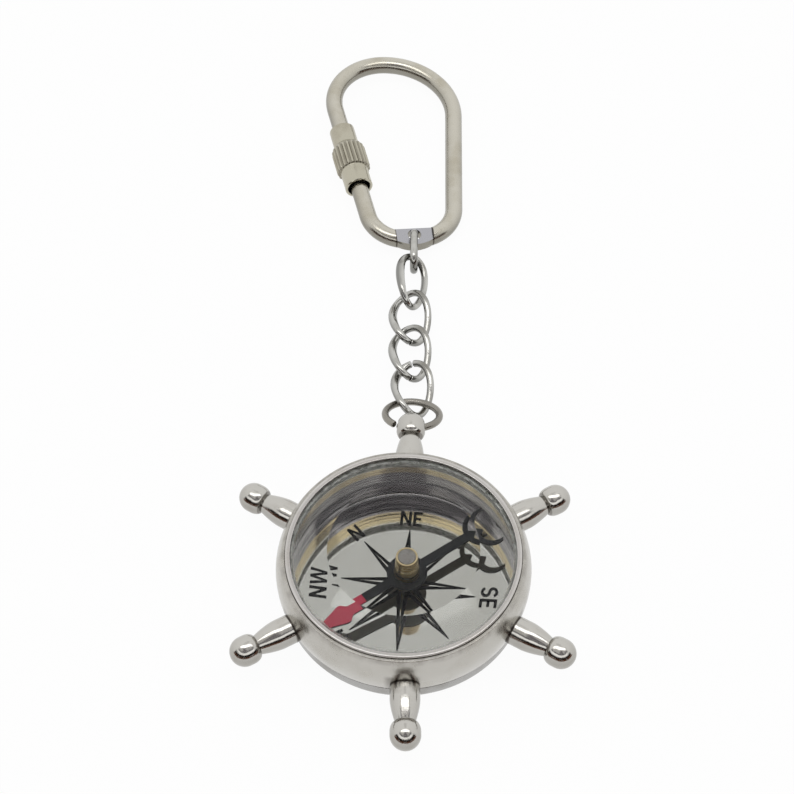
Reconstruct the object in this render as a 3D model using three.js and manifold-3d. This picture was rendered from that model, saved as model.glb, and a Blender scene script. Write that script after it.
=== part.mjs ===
// A compass in a ship's-wheel case, hung on a curb chain from a key clip with a screw-lock sleeve.
// Millimetres, +Z up. The origin is the centre of the case's back face, and the part lies on z = 0.
// +Y runs from the case along the chain to the key clip; the crystal faces up.
import * as THREE from 'three';
import { mergeVertices } from 'three/addons/utils/BufferGeometryUtils.js';
import Module from 'manifold-3d';

const wasm = await Module();
wasm.setup();

// Fits shared by the pieces
const fitGap = 0.05;
const jointGap = 0.1;
const tableGap = 0.015;

// Case: radii grow outwards from the bore
const caseBore = 30.9;
const crystalLedge = 0.3;
const bezelSkirt = 0.3;
const caseLip = 0.4;
const caseBulge = 0.95;
const caseFootInset = 0.35;
const grooveDepth = 0.95;
const coverWall = 0.51;
const bezelGrip = 0.3;
const coverEdgeInset = 1.0;
const spokeCount = 6;
const boreRadius = caseBore / 2;
const ledgeRadius = boreRadius + crystalLedge;
const crystalRadius = ledgeRadius - fitGap;
const bezelInnerRadius = crystalRadius - bezelGrip;
const skirtInnerRadius = ledgeRadius + fitGap;
const bezelRadius = skirtInnerRadius + bezelSkirt;
const lipInnerRadius = bezelRadius + fitGap;
const caseTopRadius = lipInnerRadius + caseLip;
const caseRadius = caseTopRadius + caseBulge;
const caseFootRadius = caseRadius - caseFootInset;
const neckRadius = caseFootRadius - grooveDepth;
const coverInnerRadius = neckRadius + fitGap;
const coverRadius = coverInnerRadius + coverWall;
const plugRadius = boreRadius - jointGap;

// Case: heights from the back face upwards
const coverFloor = 0.9;
const coverThickness = 1.1;
const coverEdgeHeight = 1.3;
const coverRimHeight = 3.0;
const grooveHeight = 0.85;
const spokeHeight = 5.0;
const caseWidestHeight = 6.7;
const crystalSeatHeight = 9.55;
const skirtDepth = 0.55;
const lipHeight = 0.75;
const bezelProud = 0.35;
const bezelLipThickness = 0.3;
const caseFootHeight = coverRimHeight + grooveHeight;
const neckBottom = coverFloor + fitGap;
const bezelSeatHeight = crystalSeatHeight - skirtDepth;
const caseTopHeight = crystalSeatHeight + lipHeight;
const bezelTop = caseTopHeight + bezelProud;

// Crystal: a flat round table inside a conical bevel
const bevelSlope = 13.9;
const tableRadius = 10.35;
const crystalBottom = crystalSeatHeight + fitGap;

// Dial, the spacer ring above it, and the needle on its pivot
const dialThickness = 0.46;
const spacerWall = 0.45;
const spacerChamfer = 0.12;
const pivotRadius = 0.45;
const pivotBaseRadius = 1.1;
const pivotBaseHeight = 0.3;
const pivotPointLength = 1.05;
const pivotSideways = 0.45;
const needleLift = 2.73;
const needleThickness = 0.35;
const needleHeading = 215;
const needleDiscRadius = 2.8;
const needleBarWidth = 1.35;
const needleTipGap = 1.45;
const needleTipWidth = 0.68;
const arrowLength = 4.9;
const arrowHalfWidth = 1.34;
const crescentRadius = 2.77;
const crescentWidth = 0.8;
const crescentInset = 0.8;
const barbLength = 0.9;
const hubSpigotRadius = 1.25;
const hubRootRadius = 1.8;
const hubTopRadius = 1.5;
const hubBoreRadius = 0.8;
const hubHeadroom = 0.85;
const jewelRadius = 1.2;
const jewelThickness = 0.42;
const jewelProud = 0.06;
const dialBottom = coverThickness + fitGap;
const dialTop = dialBottom + dialThickness;
const dialRadius = boreRadius - jointGap;
const spacerRadius = boreRadius - fitGap;
const spacerInnerRadius = spacerRadius - spacerWall;
const spacerTop = crystalSeatHeight - fitGap;
const needleBottom = dialTop + needleLift;
const hubTop = crystalBottom - hubHeadroom;

// Spokes: turned handles with a ball end, screwed into the case wall
const spokeLength = 7.0;
const spokeRootRadius = 2.05;
const spokeRootLength = 1.8;
const spokeNeckRadius = 1.35;
const spokeNeckBack = 1.85;
const ballRadius = 2.1;
const ballBarrel = 0.5;
const studRadius = 0.9;
const studWall = 0.45;
const spokeReach = caseRadius + spokeLength;

// Degrees by which a spoke stands off its even place round the case
const spokeTurns = [-1.9, 0, 0, 1.1, 0, 0];

// Jump ring through the top ball
const ringDiameter = 9.0;
const ringWire = 1.1;
const ringCutStart = 232;
const ringCutEnd = 241;
const ringLift = 0.05;
const ringYaw = 2.6;
const ringRoll = -0.9;
const ringHoleGap = 0.08;

// Curb chain: twisted links, lying slack
const linkLength = 10.2;
const linkWidth = 6.5;
const linkWire = 1.05;
const linkTwistGap = 0.85;
const firstLinkLap = 2.38;
const linkLaps = [2.44, 2.4, 2.9];
const linkRolls = [12, 8, 4, 48];
const linkYaws = [0, 0, 0, -4.5];
const linkTwistShares = [1, 1, 1, 0.32];
const linkSideways = [0.9, 0.5, 0.45, 0.65];
const linkCuts = [
  { at: 90, gap: 0.3 },
  { at: 270, gap: 0.12 },
  { at: 270, gap: 0.12 },
  { at: 90, gap: 0.3 },
];

// Top link, an upright oval through the clip's eye
const topLinkWire = 1.2;
const topLinkHalfLength = 3.18;
const topLinkHalfHeight = 1.85;
const topLinkLap = 1.78;
const topLinkSideways = 0.95;
const topLinkCut = { at: 300, gap: 0.12 };

// Key clip: a bent rod, flattened at its eye, with an open gate
const rodDiameter = 2.7;
const clipLength = 36.55;
const clipSpineOffset = 6.23;
const clipGateOffset = 6.26;
const clipGateLean = 14.6;
const clipEyeLean = 8;
const clipEyeInset = 0.3;
const clipTopSpineBend = 10.6;
const clipTopGateBend = 8.7;
const clipFootSpineBend = 6.6;
const clipFootGateBend = 5.8;
const clipRoll = 5;
const clipLift = 0.34;
const eyeThickness = 1.6;
const eyeLength = 5.8;
const eyeInnerReach = 1.25;
const eyeOuterReach = 1.9;
const eyeHoleRadius = 1.05;
const eyeSlack = 0.25;
const gateOpening = 3.2;
const gateEngagement = 2.4;

// Screw-lock sleeve: plain tube, fluted grip, plain tube
const sleeveFromTop = 15.72;
const sleeveUpperLength = 3.6;
const sleeveGripLength = 5.2;
const sleeveLowerLength = 3.4;
const sleeveUpperRadius = 2.0;
const sleeveGripRadius = 2.68;
const sleeveLowerRadius = 2.18;
const sleeveThreadGap = 0.15;
const sleeveBoreGap = 0.43;
const fluteCount = 22;
const fluteDepth = 0.28;
const gripTaper = 1.1;
const gripChamfer = 0.35;
const sleeveLength = sleeveUpperLength + sleeveGripLength + sleeveLowerLength;

// Facets: how finely round shapes are cut
const caseSegments = 48;
const spokeSegments = 14;
const smallSegments = 24;
const wireSides = 8;
const rodSides = 12;

const radians = THREE.MathUtils.degToRad;
const point = (x, y) => new THREE.Vector2(x, y);

// A closed indexed geometry with shared vertices and no empty triangles
function weld(geometry) {
  geometry.deleteAttribute('normal');
  geometry.deleteAttribute('uv');
  const merged = mergeVertices(geometry, 1e-5);
  const index = merged.getIndex().array;
  const kept = [];
  for (let i = 0; i < index.length; i += 3) {
    const [a, b, c] = [index[i], index[i + 1], index[i + 2]];
    if (a !== b && b !== c && c !== a) kept.push(a, b, c);
  }
  merged.setIndex(kept);
  return merged;
}

function toSolid(geometry) {
  const welded = weld(geometry);
  const vertProperties = new Float32Array(welded.getAttribute('position').array);
  const triVerts = new Uint32Array(welded.getIndex().array);
  return new wasm.Manifold(new wasm.Mesh({ numProp: 3, vertProperties, triVerts }));
}

function toGeometry(solid) {
  const mesh = solid.getMesh();
  const geometry = new THREE.BufferGeometry();
  geometry.setAttribute('position', new THREE.BufferAttribute(new Float32Array(mesh.vertProperties), 3));
  geometry.setIndex(Array.from(mesh.triVerts));
  return geometry;
}

// Turns a profile of (radius, height) points about +Z; a profile off the axis closes on itself
function turned(profile, segments) {
  const onAxis = profile[0].x === 0 && profile.at(-1).x === 0;
  const points = onAxis ? profile : [...profile, profile[0].clone()];
  const geometry = new THREE.LatheGeometry(points, segments);
  geometry.rotateX(Math.PI / 2);
  return geometry;
}

const disc = (radius, height, segments) =>
  turned([point(0, 0), point(radius, 0), point(radius, height), point(0, height)], segments);

// A curve given by a formula of t from 0 to 1
class FormulaCurve extends THREE.Curve {
  constructor(formula) {
    super();
    this.formula = formula;
  }

  getPoint(t, target = new THREE.Vector3()) {
    return target.copy(this.formula(t));
  }
}

function roundSection(radius, sides) {
  const corners = [];
  for (let i = 0; i < sides; i += 1) {
    const angle = (2 * Math.PI * i) / sides;
    corners.push(point(radius * Math.cos(angle), radius * Math.sin(angle)));
  }
  return new THREE.Shape(corners);
}

function wireAlong(curve, diameter, sides, steps) {
  const section = roundSection(diameter / 2, sides);
  return new THREE.ExtrudeGeometry(section, { extrudePath: curve, steps, bevelEnabled: false });
}

const nickel = { color: 0xc9c5bb, roughness: 0.2, metalness: 1 };
const warmNickel = { color: 0xb9b2a2, roughness: 0.3, metalness: 1 };
const brass = { color: 0xb08d4c, roughness: 0.35, metalness: 1 };
const steel = { color: 0x9a9a98, roughness: 0.4, metalness: 1 };
const glass = { color: 0xe8efe9, roughness: 0.05, metalness: 0, transparent: true, opacity: 0.3 };
const mirror = { color: 0xd2d1c8, roughness: 0.08, metalness: 1 };
const blackPaint = { color: 0x16171a, roughness: 0.5, metalness: 0 };
const agate = { color: 0x8f8a82, roughness: 0.3, metalness: 0 };

function piece(name, geometry, look) {
  const mesh = new THREE.Mesh(weld(geometry), new THREE.MeshStandardMaterial(look));
  mesh.name = name;
  return mesh;
}

// Outer wall of the case: it swells from the foot to its widest height and closes in to the lip
function caseWall(offset) {
  const lowerSteps = 2;
  const upperSteps = 5;
  const wall = [];
  for (let i = 0; i <= lowerSteps; i += 1) {
    const share = 1 - i / lowerSteps;
    const height = THREE.MathUtils.lerp(caseWidestHeight, caseFootHeight, share);
    wall.push(point(caseRadius - caseFootInset * share ** 2 + offset, height));
  }
  for (let i = 1; i <= upperSteps; i += 1) {
    const share = i / upperSteps;
    const height = THREE.MathUtils.lerp(caseWidestHeight, caseTopHeight, share);
    wall.push(point(caseRadius - caseBulge * share ** 2 + offset, height));
  }
  return wall;
}

// A cylinder lying along a spoke, from one distance from the case axis to another
function spokeBar(radius, from, to) {
  const bar = disc(radius, to - from, spokeSegments);
  bar.rotateY(Math.PI / 2);
  bar.translate(from, 0, spokeHeight);
  return bar;
}

const spokeAngle = (i) => Math.PI / 2 + (2 * Math.PI * i) / spokeCount + radians(spokeTurns[i]);

function caseRing() {
  const profile = [
    point(boreRadius, neckBottom),
    point(neckRadius, neckBottom),
    point(neckRadius, caseFootHeight),
    ...caseWall(0),
    point(lipInnerRadius, caseTopHeight),
    point(lipInnerRadius, bezelSeatHeight),
    point(ledgeRadius, bezelSeatHeight),
    point(ledgeRadius, crystalSeatHeight),
    point(boreRadius, crystalSeatHeight),
  ];
  let ring = toSolid(turned(profile, caseSegments));
  for (let i = 0; i < spokeCount; i += 1) {
    const hole = spokeBar(studRadius + fitGap, boreRadius + studWall - jointGap, caseRadius + jointGap);
    hole.rotateZ(spokeAngle(i));
    ring = ring.subtract(toSolid(hole));
  }
  return toGeometry(ring);
}

function backCover() {
  const edgeRadius = coverRadius - coverEdgeInset;
  return turned([
    point(0, 0),
    point(edgeRadius, 0),
    point(edgeRadius + coverEdgeInset * 0.6, coverEdgeHeight * 0.3),
    point(coverRadius, coverEdgeHeight),
    point(coverRadius, coverRimHeight),
    point(coverInnerRadius, coverRimHeight),
    point(coverInnerRadius, coverFloor),
    point(plugRadius, coverFloor),
    point(plugRadius, coverThickness),
    point(0, coverThickness),
  ], caseSegments);
}

function bezelRing() {
  const edge = bezelSkirt * 0.3;
  return turned([
    point(bezelInnerRadius, bezelTop - bezelLipThickness),
    point(skirtInnerRadius, bezelTop - bezelLipThickness),
    point(skirtInnerRadius, bezelSeatHeight + fitGap),
    point(bezelRadius, bezelSeatHeight + fitGap),
    point(bezelRadius, bezelTop - edge),
    point(bezelRadius - edge, bezelTop),
    point(bezelInnerRadius + edge, bezelTop),
    point(bezelInnerRadius, bezelTop - edge),
  ], caseSegments);
}

// The bevel rises to the table from just under the bezel's lip
const bevelRise = Math.tan(radians(bevelSlope));
const crystalEdge = bezelTop - bezelLipThickness - fitGap - crystalBottom;
const crystalThickness = crystalEdge + (bezelInnerRadius - tableRadius) * bevelRise;

function crystal() {
  const rimHeight = crystalThickness - (crystalRadius - tableRadius) * bevelRise;
  const glassBody = turned([
    point(0, 0),
    point(crystalRadius, 0),
    point(crystalRadius, rimHeight),
    point(tableRadius, crystalThickness),
    point(0, crystalThickness),
  ], caseSegments);
  glassBody.translate(0, 0, crystalBottom);
  return glassBody;
}

// A turned liner that stands on the dial's edge, up to the crystal
function spacerRing() {
  const bottom = dialTop + fitGap;
  return turned([
    point(spacerInnerRadius, bottom),
    point(spacerRadius, bottom),
    point(spacerRadius, spacerTop),
    point(spacerInnerRadius + spacerChamfer, spacerTop),
    point(spacerInnerRadius, spacerTop - spacerChamfer),
  ], caseSegments);
}

function dialPlate() {
  const plate = disc(dialRadius, dialThickness, caseSegments);
  plate.translate(0, 0, dialBottom);
  return plate;
}

const jewelTop = hubTop + jewelProud;
const jewelBottom = jewelTop - jewelThickness;

function pivotPin() {
  const base = dialTop + fitGap;
  const tip = jewelBottom + fitGap;
  return turned([
    point(0, base),
    point(pivotBaseRadius, base),
    point(pivotBaseRadius, base + pivotBaseHeight),
    point(pivotRadius, base + pivotBaseHeight),
    point(pivotRadius, tip - pivotPointLength),
    point(0, tip),
  ], smallSegments);
}

// The needle points along +X before it is turned to its heading; its tail ends in an open crescent
function needle() {
  const half = needleBarWidth / 2;
  const tip = spacerInnerRadius - needleTipGap;
  const discMeet = Math.acos(half / needleDiscRadius);
  const tailCentre = -(tip - crescentInset);
  const inner = crescentRadius - crescentWidth / 2;
  const innerCentre = tailCentre - crescentWidth / 2;
  const barMeet = Math.asin(half / crescentRadius);
  const barbMeet = Math.asin(half / inner);
  const hornAngle = radians(100);
  const neck = tip - arrowLength;
  const shoulderBack = tip - arrowLength * 0.83;
  const shoulderFront = tip - arrowLength * 0.73;
  const blunt = needleTipWidth / 2;
  const outline = new THREE.Shape();
  outline.moveTo(tip, blunt);
  outline.lineTo(shoulderFront, arrowHalfWidth);
  outline.lineTo(shoulderBack, arrowHalfWidth);
  outline.lineTo(neck, half);
  outline.absarc(0, 0, needleDiscRadius, Math.PI / 2 - discMeet, Math.PI / 2 + discMeet, false);
  outline.absarc(tailCentre, 0, crescentRadius, barMeet, hornAngle, false);
  outline.absarc(innerCentre, 0, inner, hornAngle, barbMeet, true);
  outline.lineTo(innerCentre + inner - barbLength, 0);
  outline.absarc(innerCentre, 0, inner, -barbMeet, -hornAngle, true);
  outline.absarc(tailCentre, 0, crescentRadius, -hornAngle, -barMeet, false);
  outline.absarc(0, 0, needleDiscRadius, -Math.PI / 2 - discMeet, -Math.PI / 2 + discMeet, false);
  outline.lineTo(neck, -half);
  outline.lineTo(shoulderBack, -arrowHalfWidth);
  outline.lineTo(shoulderFront, -arrowHalfWidth);
  outline.lineTo(tip, -blunt);
  outline.closePath();
  const hole = new THREE.Path();
  hole.absarc(0, 0, hubSpigotRadius + fitGap, 0, 2 * Math.PI, false);
  outline.holes.push(hole);
  const depth = needleThickness;
  const plate = new THREE.ExtrudeGeometry(outline, { depth, bevelEnabled: false, curveSegments: 7 });
  plate.rotateZ(radians(needleHeading));
  plate.translate(0, 0, needleBottom);
  return plate;
}

function needleHub() {
  const seat = needleBottom + needleThickness + fitGap;
  const jewelSeat = jewelBottom - fitGap;
  return turned([
    point(hubBoreRadius, needleBottom),
    point(hubSpigotRadius, needleBottom),
    point(hubSpigotRadius, seat),
    point(hubRootRadius, seat),
    point(hubTopRadius, hubTop - jewelProud),
    point(jewelRadius + fitGap + jewelProud, hubTop),
    point(jewelRadius + fitGap, hubTop),
    point(jewelRadius + fitGap, jewelSeat),
    point(hubBoreRadius, jewelSeat),
  ], smallSegments);
}

function hubJewel() {
  const dimple = pivotRadius * 0.8;
  const dimpleDepth = fitGap * 3;
  return turned([
    point(0, jewelBottom + dimpleDepth),
    point(dimple, jewelBottom),
    point(jewelRadius, jewelBottom),
    point(jewelRadius, jewelTop - jewelProud),
    point(jewelRadius - jewelProud, jewelTop),
    point(0, jewelTop),
  ], smallSegments);
}

const ringRadius = (ringDiameter - ringWire) / 2;
const ringSag = ringRadius - Math.sqrt(ringRadius ** 2 - ballRadius ** 2);
const ringBack = ringSag / 2;
const ringHoleRadius = ringBack + ringWire / 2 + ringHoleGap;

// The jump ring hangs from the drilled ball, askew, and lies over the first link
const upward = new THREE.Vector3(0, 0, 1);
const ringFarHeight = linkWire + ringWire / 2 + ringLift;
const ringFarReach = 2 * ringRadius - ringBack;
const ringDroop = Math.asin((spokeHeight - ringFarHeight) / ringFarReach);
const ringOut = new THREE.Vector3(0, Math.cos(ringDroop), -Math.sin(ringDroop));
const ringSide = new THREE.Vector3(1, 0, 0).applyAxisAngle(ringOut, -radians(ringRoll));
ringOut.applyAxisAngle(upward, -radians(ringYaw));
ringSide.applyAxisAngle(upward, -radians(ringYaw));
const ballCentre = new THREE.Vector3(spokeReach, 0, spokeHeight).applyAxisAngle(upward, spokeAngle(0));
const ringFarY = ballCentre.y + ringFarReach * ringOut.y;

// One turned handle along +X: root, taper to the neck, ball; its foot follows the case wall
function spoke(drilled) {
  const neckAt = spokeReach - spokeNeckBack;
  const rootEnd = caseRadius + spokeRootLength;
  const taperSteps = 3;
  const ballSteps = 4;
  const profile = [point(0, boreRadius + studWall), point(spokeRootRadius, boreRadius + studWall)];
  for (let i = 0; i <= taperSteps; i += 1) {
    const share = i / taperSteps;
    const radius = spokeRootRadius - (spokeRootRadius - spokeNeckRadius) * share ** 1.6;
    profile.push(point(radius, THREE.MathUtils.lerp(rootEnd, neckAt, share)));
  }
  const shoulder = spokeReach - ballBarrel - neckAt;
  for (let i = 1; i <= ballSteps; i += 1) {
    const angle = (Math.PI / 2) * (i / ballSteps);
    const radius = spokeNeckRadius + (ballRadius - spokeNeckRadius) * Math.sin(angle);
    profile.push(point(radius, neckAt + shoulder * (1 - Math.cos(angle))));
  }
  for (let i = 0; i < ballSteps; i += 1) {
    const angle = (Math.PI / 2) * (i / ballSteps);
    profile.push(point(ballRadius * Math.cos(angle), spokeReach + ballRadius * Math.sin(angle)));
  }
  profile.push(point(0, spokeReach + ballRadius));
  const handle = turned(profile, spokeSegments);
  handle.rotateY(Math.PI / 2);
  handle.translate(0, 0, spokeHeight);
  const wall = caseWall(jointGap);
  const outline = [point(0, 0), point(wall[0].x, 0), ...wall, point(0, wall.at(-1).y)];
  const envelope = turned(outline, caseSegments);
  const stud = spokeBar(studRadius, boreRadius + studWall, rootEnd);
  let solid = toSolid(handle).subtract(toSolid(envelope)).add(toSolid(stud));
  if (drilled) {
    const along = ringSide.clone().applyAxisAngle(upward, -spokeAngle(0));
    const drill = disc(ringHoleRadius, 3 * ballRadius, spokeSegments);
    drill.translate(0, 0, -1.5 * ballRadius);
    drill.applyQuaternion(new THREE.Quaternion().setFromUnitVectors(upward, along));
    drill.translate(spokeReach, 0, spokeHeight);
    solid = solid.subtract(toSolid(drill));
  }
  return toGeometry(solid);
}

function jumpRing() {
  const centre = ballCentre.clone().addScaledVector(ringOut, ringRadius - ringBack);
  const from = radians(ringCutEnd);
  const sweep = 2 * Math.PI - radians(ringCutEnd - ringCutStart);
  const bow = new FormulaCurve((t) => {
    const angle = from + sweep * t;
    const spot = centre.clone().addScaledVector(ringSide, ringRadius * Math.cos(angle));
    return spot.addScaledVector(ringOut, ringRadius * Math.sin(angle));
  });
  return wireAlong(bow, ringWire, wireSides, 34);
}

// A curb link is an oval whose two sides are twisted over and under
const linkHalfLength = (linkLength - linkWire) / 2;
const linkHalfWidth = (linkWidth - linkWire) / 2;
const linkTwist = (linkWire + linkTwistGap) / 2;

function curbPoint(i, angle) {
  return new THREE.Vector3(
    linkHalfWidth * Math.cos(angle),
    linkHalfLength * Math.sin(angle),
    linkTwist * linkTwistShares[i] * Math.sin(2 * angle),
  );
}

// How far a rolled link's centre line reaches below its centre
function linkDepth(i) {
  const samples = 180;
  let depth = 0;
  for (let k = 0; k < samples; k += 1) {
    const spot = curbPoint(i, (2 * Math.PI * k) / samples);
    spot.applyAxisAngle(new THREE.Vector3(0, 1, 0), radians(linkRolls[i]));
    depth = Math.max(depth, -spot.z);
  }
  return depth;
}

function openLoop(formula, halfGirth, cut) {
  const gapAngle = cut.gap / halfGirth;
  const from = radians(cut.at) + gapAngle / 2;
  const sweep = 2 * Math.PI - gapAngle;
  return new FormulaCurve((t) => formula(from + sweep * t));
}

function chainLink(i) {
  const curve = openLoop((angle) => curbPoint(i, angle), linkHalfWidth, linkCuts[i]);
  return wireAlong(curve, linkWire, wireSides, 32);
}

const linkCentres = [];
let linkY = ringFarY - firstLinkLap + linkHalfLength;
for (let i = 0; i < linkRolls.length; i += 1) {
  const height = linkWire / 2 + tableGap + linkDepth(i);
  linkCentres.push(new THREE.Vector3(linkSideways[i], linkY, height));
  linkY += 2 * linkHalfLength - (linkLaps[i] ?? 0);
}

// The top link is upright: two straight runs joined by half circles
const lastLinkFarY = linkCentres.at(-1).y + linkHalfLength;
const topLinkHeight = topLinkWire / 2 + tableGap + topLinkHalfHeight;
const topLinkY = lastLinkFarY - topLinkLap + topLinkHalfLength;
const topLinkFarY = topLinkY + topLinkHalfLength;

function topLinkPoint(angle) {
  const run = (topLinkHalfLength - topLinkHalfHeight) * Math.tanh(3 * Math.cos(angle));
  const bow = topLinkHalfHeight * Math.cos(angle);
  return new THREE.Vector3(0, bow + run, topLinkHalfHeight * Math.sin(angle));
}

function topLink() {
  return wireAlong(openLoop(topLinkPoint, topLinkHalfLength, topLinkCut), topLinkWire, wireSides, 30);
}

// Key clip, drawn flat with its eye at the origin; the gate side leans in towards the eye
const gateLean = radians(clipGateLean);
const gateDown = point(Math.sin(gateLean), -Math.cos(gateLean));
const gateAt = (y) => point(-clipGateOffset - y * Math.tan(gateLean), y);
const eyeSlope = Math.tan(radians(clipEyeLean));
const eyeLineAt = (x) => point(x, x * eyeSlope - clipEyeInset);
const gateSlope = Math.tan(gateLean);
const gateFootX = (clipEyeInset * gateSlope - clipGateOffset) / (1 + eyeSlope * gateSlope);
const clipCorners = {
  topGate: gateAt(clipLength),
  topSpine: point(clipSpineOffset, clipLength),
  footSpine: eyeLineAt(clipSpineOffset),
  footGate: eyeLineAt(gateFootX),
};
const alongGate = (distance) => clipCorners.topGate.clone().addScaledVector(gateDown, distance);
const upperRodEnd = sleeveFromTop + gateEngagement;
const lowerRodEnd = upperRodEnd + gateOpening;
const sleeveTravel = lowerRodEnd - sleeveFromTop;

// Runs a path to a corner and rounds it towards the next one
function roundCorner(path, before, corner, after, radius) {
  const back = before.clone().sub(corner).normalize();
  const on = after.clone().sub(corner).normalize();
  const half = Math.acos(back.dot(on)) / 2;
  const start = corner.clone().addScaledVector(back, radius / Math.tan(half));
  const end = corner.clone().addScaledVector(on, radius / Math.tan(half));
  const centre = corner.clone().addScaledVector(back.clone().add(on).normalize(), radius / Math.sin(half));
  path.lineTo(start.x, start.y);
  const startAngle = Math.atan2(start.y - centre.y, start.x - centre.x);
  const endAngle = Math.atan2(end.y - centre.y, end.x - centre.x);
  path.absarc(centre.x, centre.y, radius, startAngle, endAngle, false);
}

function clipPath() {
  const { topGate, topSpine, footSpine, footGate } = clipCorners;
  const start = alongGate(lowerRodEnd);
  const end = alongGate(upperRodEnd);
  const path = new THREE.Path();
  path.moveTo(start.x, start.y);
  roundCorner(path, topGate, footGate, footSpine, clipFootGateBend);
  roundCorner(path, footGate, footSpine, topSpine, clipFootSpineBend);
  roundCorner(path, footSpine, topSpine, topGate, clipTopSpineBend);
  roundCorner(path, topSpine, topGate, footGate, clipTopGateBend);
  path.lineTo(end.x, end.y);
  return path;
}

// A plate as thick as the eye, straight on its inner edge and bowed on its outer one
function eyePlate() {
  const halfLength = eyeLength / 2;
  const shape = new THREE.Shape();
  shape.moveTo(-halfLength, eyeInnerReach);
  shape.lineTo(-halfLength, -eyeOuterReach / 2);
  shape.quadraticCurveTo(0, -1.5 * eyeOuterReach, halfLength, -eyeOuterReach / 2);
  shape.lineTo(halfLength, eyeInnerReach);
  shape.closePath();
  const depth = eyeThickness;
  const plate = new THREE.ExtrudeGeometry(shape, { depth, bevelEnabled: false, curveSegments: 8 });
  plate.translate(0, 0, -eyeThickness / 2);
  plate.rotateZ(radians(clipEyeLean));
  return plate;
}

function clipFrame() {
  const path = clipPath();
  const curve = new FormulaCurve((t) => {
    const spot = path.getPoint(t);
    return new THREE.Vector3(spot.x, spot.y, 0);
  });
  let solid = toSolid(wireAlong(curve, rodDiameter, rodSides, 60));
  for (const side of [-1, 1]) {
    const press = new THREE.BoxGeometry(eyeLength, 2 * rodDiameter, rodDiameter);
    press.translate(0, 0, side * (eyeThickness + rodDiameter) / 2);
    press.rotateZ(radians(clipEyeLean));
    solid = solid.subtract(toSolid(press));
  }
  const drill = disc(eyeHoleRadius, 2 * rodDiameter, smallSegments);
  drill.translate(0, 0, -rodDiameter);
  return toGeometry(solid.add(toSolid(eyePlate())).subtract(toSolid(drill)));
}

// Fluted grip between two plain tubes; the threaded bore at the top is closer than the one below
function lockSleeve() {
  const threadRadius = rodDiameter / 2 + sleeveThreadGap;
  const boreWide = rodDiameter / 2 + sleeveBoreGap;
  const gripTop = sleeveUpperLength;
  const gripBottom = gripTop + sleeveGripLength;
  const tube = turned([
    point(threadRadius, 0),
    point(threadRadius, sleeveUpperLength),
    point(boreWide, sleeveUpperLength + sleeveBoreGap),
    point(boreWide, sleeveLength),
    point(sleeveLowerRadius, sleeveLength),
    point(sleeveLowerRadius, gripBottom - gripChamfer),
    point(sleeveUpperRadius, gripTop + gripChamfer),
    point(sleeveUpperRadius, 0),
  ].reverse(), smallSegments);
  const fluteSteps = 3;
  const outline = [];
  for (let i = 0; i < fluteCount * fluteSteps; i += 1) {
    const angle = (2 * Math.PI * i) / (fluteCount * fluteSteps);
    const radius = sleeveGripRadius - fluteDepth * (0.5 - 0.5 * Math.cos(fluteCount * angle));
    outline.push(point(radius * Math.cos(angle), radius * Math.sin(angle)));
  }
  const depth = sleeveGripLength;
  const flutes = new THREE.ExtrudeGeometry(new THREE.Shape(outline), { depth, bevelEnabled: false });
  flutes.translate(0, 0, gripTop);
  const grip = turned([
    point(boreWide, gripTop),
    point(sleeveUpperRadius, gripTop),
    point(sleeveGripRadius, gripTop + gripTaper),
    point(sleeveGripRadius, gripBottom - gripChamfer),
    point(sleeveGripRadius - gripChamfer, gripBottom),
    point(boreWide, gripBottom),
  ], smallSegments);
  const fluted = toSolid(flutes).intersect(toSolid(grip));
  return toGeometry(toSolid(tube).add(fluted));
}

// Assembly
const keychain = new THREE.Group();
keychain.add(
  piece('case_ring', caseRing(), nickel),
  piece('back_cover', backCover(), nickel),
  piece('bezel_ring', bezelRing(), nickel),
  piece('crystal', crystal(), glass),
  piece('dial_plate', dialPlate(), mirror),
  piece('spacer_ring', spacerRing(), brass),
  piece('jump_ring', jumpRing(), nickel),
);

// The pivot stands a little to the right of the case's axis
const pivot = new THREE.Group();
pivot.position.x = pivotSideways;
pivot.add(
  piece('pivot_pin', pivotPin(), steel),
  piece('needle', needle(), blackPaint),
  piece('needle_hub', needleHub(), brass),
  piece('hub_jewel', hubJewel(), agate),
);
keychain.add(pivot);

for (let i = 0; i < spokeCount; i += 1) {
  const handle = piece(`spoke_${i + 1}`, spoke(i === 0), nickel);
  handle.rotation.z = spokeAngle(i);
  keychain.add(handle);
}

linkCentres.forEach((centre, i) => {
  const link = piece(`chain_link_${i + 1}`, chainLink(i), nickel);
  link.position.copy(centre);
  link.rotation.set(0, radians(linkRolls[i]), radians(linkYaws[i]), 'ZYX');
  keychain.add(link);
});

const upright = piece('top_link', topLink(), nickel);
upright.position.set(topLinkSideways, topLinkY, topLinkHeight);
keychain.add(upright);

const clip = new THREE.Group();
const clipHeight = rodDiameter / 2 + clipSpineOffset * Math.sin(radians(clipRoll)) + clipLift;
clip.position.set(topLinkSideways, topLinkFarY - eyeSlack, clipHeight);
clip.rotation.y = radians(clipRoll);
clip.add(piece('clip_frame', clipFrame(), warmNickel));

const sleeve = piece('lock_sleeve', lockSleeve(), warmNickel);
const sleeveTop = alongGate(sleeveFromTop);
sleeve.position.set(sleeveTop.x, sleeveTop.y, 0);
sleeve.rotation.set(Math.PI / 2, 0, gateLean, 'ZYX');
clip.add(sleeve);
keychain.add(clip);

export default keychain;
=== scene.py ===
import math

import bmesh
import bpy
from mathutils import Matrix, Vector


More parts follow.
